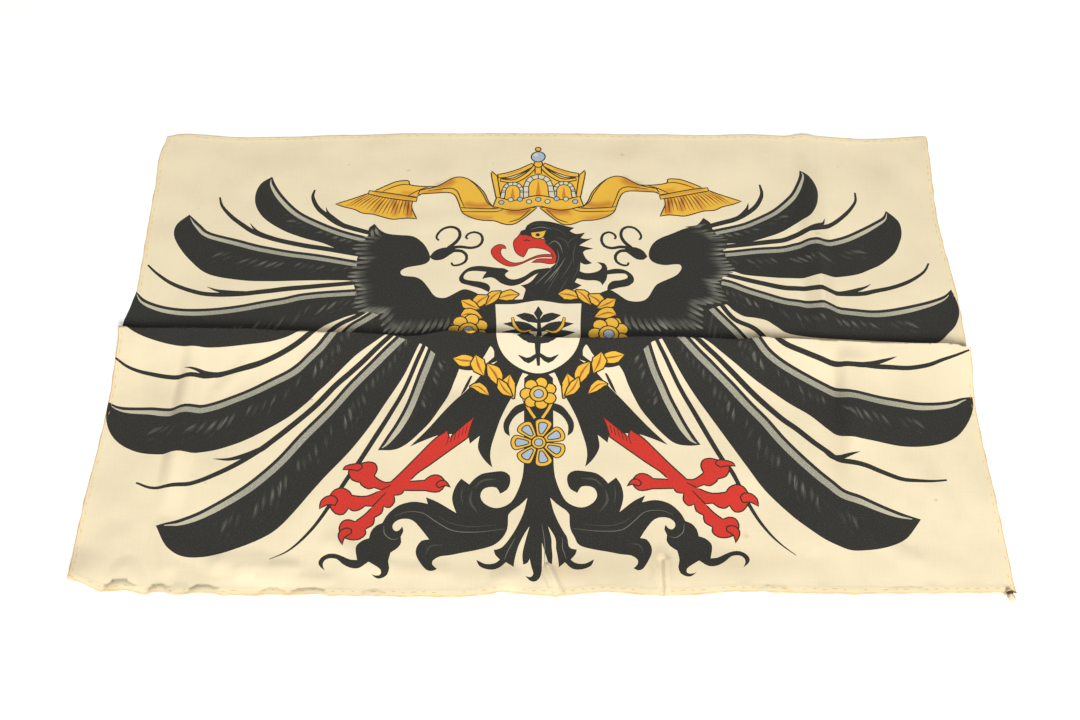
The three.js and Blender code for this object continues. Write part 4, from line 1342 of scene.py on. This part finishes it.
    # Thick and thin threads and an uneven tone.
    tone = add(RANGE, values={"To Min": 0.982, "To Max": 1.01}, links={"Value": grain})
    cloud = add(RANGE, values={"From Min": 0.3, "From Max": 0.7, "To Min": 0.965, "To Max": 1.03},
                links={"Value": over(MOTTLE_LENGTH, MOTTLE_LENGTH, detail=4.0, offset=5.0)})
    colour = add("ShaderNodeVectorMath", {"operation": "SCALE"}, links={
        0: soiled_and_shaded, "Scale": add(MATH, TIMES, links={0: tone, 1: cloud})})
    relief = add(BUMP, values={"Strength": 0.5, "Distance": WEAVE_RELIEF * MM}, links={"Height": grain})
    shader = add("ShaderNodeBsdfPrincipled", values={
        "Roughness": 0.86, "IOR": 1.45, "Specular IOR Level": 0.25, "Sheen Weight": 0.06,
        "Sheen Roughness": 0.5}, links={"Base Color": colour, "Normal": relief})
    add("ShaderNodeOutputMaterial", links={"Surface": shader})
    return material


def thread_material(name, colour, dark, pitch):
    """Twisted cotton sewing thread: matt, a shade darker between its plies."""
    material, add = new_material(name)
    place = add("ShaderNodeTexCoord").outputs["Object"]
    patches = add(NOISE, values={"Scale": 1 / (4 * MM), "Detail": 2.0}, links={"Vector": place})
    plies = add("ShaderNodeTexWave", {"bands_direction": "DIAGONAL"},
                {"Scale": 0.314 / (pitch * MM), "Distortion": 1.0, "Detail": 1.0}, {"Vector": place})
    both = add(MATH, TIMES, links={0: patches, 1: plies})
    colours = add(MIX, COLOUR, {6: linear(dark), 7: linear(colour)},
                  {"Factor": add(RANGE, values={"From Max": 0.5, "To Min": 0.25},
                                 links={"Value": both})}).outputs[2]
    relief = add(BUMP, values={"Strength": 0.6, "Distance": 0.08 * MM}, links={"Height": plies})
    shader = add("ShaderNodeBsdfPrincipled", values={"Roughness": 0.8, "Specular IOR Level": 0.3},
                 links={"Base Color": colours, "Normal": relief})
    add("ShaderNodeOutputMaterial", links={"Surface": shader})
    return material


def gathered_silk():
    """The same silk where the knot gathers it: bare, creamy and a little dirty."""
    material, add = new_material("gathered_silk")
    place = add("ShaderNodeTexCoord").outputs["Object"]
    patches = add(NOISE, values={"Scale": 1 / (2.5 * MM), "Detail": 3.0},
                  links={"Vector": place})
    colours = add(MIX, COLOUR, {6: linear("#B99A68"), 7: linear("#E9DCBC")},
                  {"Factor": add(RANGE, values={"From Min": 0.3, "From Max": 0.62},
                                 links={"Value": patches})}).outputs[2]
    relief = add(BUMP, values={"Strength": 0.5, "Distance": 0.1 * MM}, links={"Height": patches})
    shader = add("ShaderNodeBsdfPrincipled", values={"Roughness": 0.86, "Specular IOR Level": 0.25},
                 links={"Base Color": colours, "Normal": relief})
    add("ShaderNodeOutputMaterial", links={"Surface": shader})
    return material


TABLE_GLOW = 0.12           # keeps the table white behind the cloth


def table_finish():
    """Matt white board with the faintest grain, so that it reads as a surface."""
    material, add = new_material("white_table")
    place = add("ShaderNodeTexCoord").outputs["Object"]
    grain = add(NOISE, values={"Scale": 40.0, "Detail": 3.0}, links={"Vector": place})
    colours = add(MIX, COLOUR, {6: linear("#F8F8F7"), 7: linear("#FCFCFB")},
                  {"Factor": grain}).outputs[2]
    shader = add("ShaderNodeBsdfPrincipled", values={
        "Roughness": 0.95, "Specular IOR Level": 0.1, "Emission Color": linear("#FFFFFF"),
        "Emission Strength": TABLE_GLOW}, links={"Base Color": colours})
    add("ShaderNodeOutputMaterial", links={"Surface": shader})
    return material


# ---------------------------------------------------------------- the hem's stitches

STITCH_LINE = 2.7          # from the edge to the seam
STITCH_PITCH, STITCH_LENGTH, STITCH_WIDTH = 6.4, 3.0, 0.36
STITCH_SINK = 0.1
# Where the print blackens the hem and its thread: side, from and to along it.
BLACK_HEMS = [(-1, 8, 44), (-1, -100, -62), (1, -8, 40), (1, -98, -62)]


def stitch_tree():
    """Geometry nodes that lay stitches along lines: some long, some short, a few lost."""
    tree = bpy.data.node_groups.new("hem_stitching", "GeometryNodeTree")
    sockets = {}
    for name, kind in (("Seams", "NodeSocketGeometry"), ("Pitch", "NodeSocketFloat"),
                       ("Stitch Length", "NodeSocketFloat"), ("Stitch Width", "NodeSocketFloat"),
                       ("Kept", "NodeSocketFloat"), ("Thread", "NodeSocketMaterial")):
        sockets[name] = tree.interface.new_socket(name, in_out="INPUT", socket_type=kind).identifier
    tree.interface.new_socket("Stitches", in_out="OUTPUT", socket_type="NodeSocketGeometry")

    add = adder(tree)
    given = add("NodeGroupInput").outputs
    seams = add("GeometryNodeMeshToCurve", links={"Mesh": given["Seams"]})
    places = add("GeometryNodeCurveToPoints", {"mode": "LENGTH"}, links={"Curve": seams,
                 "Length": given["Pitch"]})
    kept = add("FunctionNodeRandomValue", {"data_type": "BOOLEAN"}, {"Seed": SEED},
               {"Probability": given["Kept"]})
    facing = add("FunctionNodeAlignRotationToVector", {"axis": "X"},
                 links={"Vector": places.outputs["Tangent"]})
    bead = add("GeometryNodeMeshUVSphere", values={"Segments": 8, "Rings": 5, "Radius": 0.5})
    size = add("ShaderNodeCombineXYZ", links={"X": given["Stitch Length"], "Y": given["Stitch Width"],
                                             "Z": given["Stitch Width"]})
    stitch = add("GeometryNodeTransform", links={"Geometry": bead, "Scale": size})
    spread = add("FunctionNodeRandomValue", {"data_type": "FLOAT_VECTOR"},
                 {"Min": (0.55, 0.7, 0.7), "Max": (1.35, 1.15, 1.1), "Seed": SEED + 1})
    laid = add("GeometryNodeInstanceOnPoints", links={
        "Points": places, "Selection": next(out for out in kept.outputs if out.type == "BOOLEAN"),
        "Instance": stitch, "Rotation": facing,
        "Scale": next(out for out in spread.outputs if out.type == "VECTOR")})
    real = add("GeometryNodeRealizeInstances", links={"Geometry": laid})
    smooth_faces = add("GeometryNodeSetShadeSmooth", links={"Geometry": real})
    done = add("GeometryNodeSetMaterial", links={"Geometry": smooth_faces, "Material": given["Thread"]})
    add("NodeGroupOutput", links={"Stitches": done})
    return tree, sockets


def make_stitches(thread):
    """The ochre running stitch along all four hems."""
    line = grown(cloth_outline(), -STITCH_LINE)
    x, y = line.T
    y = y + 0.18 * np.sin(x / 2.1) + 0.12 * np.sin(x / 0.9)
    x = x + 0.18 * np.sin(y / 2.3)
    points = to_frame(np.column_stack([x, y, top_side(x, y) + STITCH_SINK]))
    count = len(points)
    mesh = bpy.data.meshes.new("seam_lines")
    black = np.zeros(count, bool)
    for side, start, end in BLACK_HEMS:
        black |= (x * side > 280) & (y > start) & (y < end)
    edges = [(k, (k + 1) % count) for k in range(count) if not black[k]]
    mesh.from_pydata(points.tolist(), edges, [])
    seams = make_object("seam_lines", mesh)
    tree, sockets = stitch_tree()
    layer = seams.modifiers.new("stitches", "NODES")
    layer.node_group = tree
    for name, value in (("Pitch", STITCH_PITCH * MM), ("Stitch Length", STITCH_LENGTH * MM),
                        ("Stitch Width", STITCH_WIDTH * MM), ("Kept", 0.8), ("Thread", thread)):
        layer[sockets[name]] = value
    shown = seams.evaluated_get(bpy.context.evaluated_depsgraph_get())
    stitches = bpy.data.meshes.new_from_object(shown)
    bpy.data.objects.remove(seams)
    stitches.name = "hem_stitches"
    return make_object("hem_stitches", stitches)


# ---------------------------------------------------------------- the knot at the corner

def loft(centres, radii, sides, pleats=0, pleat_depth=0.0, flat=1.0):
    """Points and faces of a closed round form along a line of centres."""
    centres = np.asarray(centres, float)
    along_line = np.gradient(centres, axis=0)
    along_line /= np.linalg.norm(along_line, axis=1)[:, None]
    angles = np.linspace(0, 2 * np.pi, sides, endpoint=False)
    points, faces = [], []
    upright = np.array([0.0, 0.0, 1.0])
    for centre, way, radius in zip(centres, along_line, radii):
        across = np.cross(way, upright)
        across = across / np.linalg.norm(across) if np.linalg.norm(across) > 1e-3 else np.array([1.0, 0, 0])
        upright = np.cross(across, way)
        reach = radius * (1 + pleat_depth * np.cos(pleats * angles))
        points.append(centre + (reach * np.cos(angles))[:, None] * across
                      + (reach * np.sin(angles) * flat)[:, None] * upright)
    for k in range(len(centres) - 1):
        for j in range(sides):
            i = (j + 1) % sides
            faces.append((k * sides + j, k * sides + i, (k + 1) * sides + i, (k + 1) * sides + j))
    faces.append(tuple(range(sides))[::-1])
    faces.append(tuple((len(centres) - 1) * sides + j for j in range(sides)))
    return np.vstack(points), faces


KNOT_FROM, KNOT_TO = np.array([296.6, -191.0, 2.6]), np.array([298.0, -197.6, 2.0])
KNOT_TURNS, KNOT_RADIUS, KNOT_THREAD = 4.5, 1.55, 0.36


def make_knot(thread, silk):
    """A gathered nub of the hem, whipped round with dark thread whose two ends stick out."""
    way = (KNOT_TO - KNOT_FROM) / np.linalg.norm(KNOT_TO - KNOT_FROM)
    across = np.cross(way, (0, 0, 1.0))
    across /= np.linalg.norm(across)
    upright = np.cross(across, way)
    parts = []
    share = np.linspace(0, 1, 15)
    nub = KNOT_FROM - way * 2.0 + (KNOT_TO - KNOT_FROM + way * 2.0) * share[:, None]
    parts.append((*loft(nub, np.interp(share, [0, 0.12, 0.3, 0.42, 0.6, 0.8, 0.93, 1],
                                       [0.4, 1.7, 1.35, 1.2, 1.9, 2.1, 1.5, 0.2]), 28, 7, 0.10, 0.85), 1))
    turn = np.linspace(0, 2 * np.pi * KNOT_TURNS, int(18 * KNOT_TURNS))
    coil = (KNOT_FROM + way * (0.2 + 0.32 * turn / (2 * np.pi))[:, None]
            + across * (KNOT_RADIUS * np.cos(turn))[:, None]
            + upright * (KNOT_RADIUS * 0.85 * np.sin(turn))[:, None])
    parts.append((*loft(coil, np.full(len(coil), KNOT_THREAD), 8), 0))
    for side, reach in ((-1, 3.4), (1, 2.6)):
        t = np.linspace(0, 1, 9)
        start = KNOT_FROM + across * side * KNOT_RADIUS
        end = start[None] + np.outer(t * reach, across * side + way * 0.5) - np.outer(
            t ** 2, (0, 0, min(1.4, 0.9 * reach))) + np.outer(np.sin(5 * t) * 0.3, way)
        parts.append((*loft(end, np.interp(t, [0, 0.8, 1], [0.3, 0.26, 0.08]), 7), 0))
    points, faces, slots, first = [], [], [], 0
    for some, loops, slot in parts:
        points.append(some)
        faces += [tuple(first + k for k in loop) for loop in loops]
        slots += [slot] * len(loops)
        first += len(some)
    mesh = bpy.data.meshes.new("corner_knot_thread")
    mesh.from_pydata(to_frame(np.vstack(points)).tolist(), [], faces)
    mesh.polygons.foreach_set("material_index", slots)
    mesh.shade_smooth()
    knot = make_object("corner_knot_thread", mesh)
    material_slots(knot, thread, silk)
    return knot


# ---------------------------------------------------------------- the table, the light and the view

def make_table(finish):
    """A wide white board that curves up far behind, like a studio sweep."""
    half, back, rise, bend = 2.4, 2.0, 1.6, 0.6
    profile = [(-2.4, 0.0), (back, 0.0)]
    profile += [(back + bend * math.sin(turn), bend - bend * math.cos(turn))
                for turn in np.linspace(0, np.pi / 2, 13)[1:]]
    profile.append((back + bend, rise))
    points = [(side * half, y, z) for y, z in profile for side in (-1, 1)]
    faces = [(2 * k, 2 * k + 1, 2 * k + 3, 2 * k + 2) for k in range(len(profile) - 1)]
    mesh = bpy.data.meshes.new("white_table")
    mesh.from_pydata(points, [], faces)
    mesh.shade_smooth()
    table = make_object("white_table", mesh)
    material_slots(table, finish)
    return table


# The camera looks down on the cloth from in front, a little to the right of its middle.
CAMERA_PLACE = (16.3, -567.7, 822.9)
CAMERA_PITCH, CAMERA_YAW, CAMERA_ROLL = (math.radians(angle) for angle in (56.146, -1.806, -1.188))
CAMERA_LENS, FILM_WIDTH = 47.0, 36.0


def make_camera():
    forward = Vector((math.sin(CAMERA_YAW) * math.cos(CAMERA_PITCH),
                      math.cos(CAMERA_YAW) * math.cos(CAMERA_PITCH), -math.sin(CAMERA_PITCH)))
    level = Vector((math.cos(CAMERA_YAW), -math.sin(CAMERA_YAW), 0))
    above = level.cross(forward)
    right = level * math.cos(CAMERA_ROLL) + above * math.sin(CAMERA_ROLL)
    up = above * math.cos(CAMERA_ROLL) - level * math.sin(CAMERA_ROLL)
    data = bpy.data.cameras.new("camera")
    data.lens = CAMERA_LENS
    data.sensor_width = FILM_WIDTH
    data.sensor_fit = "HORIZONTAL"
    data.clip_start = 0.01
    camera = make_object("camera", data)
    camera.matrix_world = Matrix.Translation(Vector(to_frame(CAMERA_PLACE))) @ Matrix(
        (right, up, -forward)).transposed().to_4x4()
    bpy.context.scene.camera = camera


def make_light(name, place, target, size, power, colour):
    """A soft square light at a place in metres, turned to a target."""
    data = bpy.data.lights.new(name, "AREA")
    data.shape = "SQUARE"
    data.size, data.energy, data.color = size, power, linear(colour)[:3]
    light = make_object(name, data)
    way = Vector(target) - Vector(place)
    turned = way.to_track_quat("-Z", "Y").to_matrix().to_4x4()
    light.matrix_world = Matrix.Translation(Vector(place)) @ turned


WORLD_LIGHT = 0.32


def make_world():
    world = bpy.data.worlds.new("studio")
    world.use_nodes = True
    background = world.node_tree.nodes["Background"]
    background.inputs["Color"].default_value = linear("#FFFFFF")
    background.inputs["Strength"].default_value = WORLD_LIGHT
    bpy.context.scene.world = world


make_camera()
make_world()
make_light("front_softbox", (0.42, -1.97, 1.5), (0, 0, 0), 0.7, 68.0, "#FFFDF8")
make_light("back_softbox", (-0.5, 0.55, 2.0), (-0.2, 0.2, 0), 1.4, 8.0, "#FFFFFF")
bpy.context.scene.view_settings.view_transform = "Standard"
table = make_table(table_finish())

ochre_thread = thread_material("ochre_cotton_thread", "#E8C27A", "#C8964C", 0.5)
dark_thread = thread_material("dark_cotton_thread", "#5A4330", "#33261B", 0.5)

cloth, cloth_span = make_cloth()
material_slots(cloth, printed_silk(cloth_span))
stitches = make_stitches(ochre_thread)
knot = make_knot(dark_thread, gathered_silk())

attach(cloth, "root")
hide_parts("flag_cloth")
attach(stitches, "root")
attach(knot, "root")
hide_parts("corner_knot")
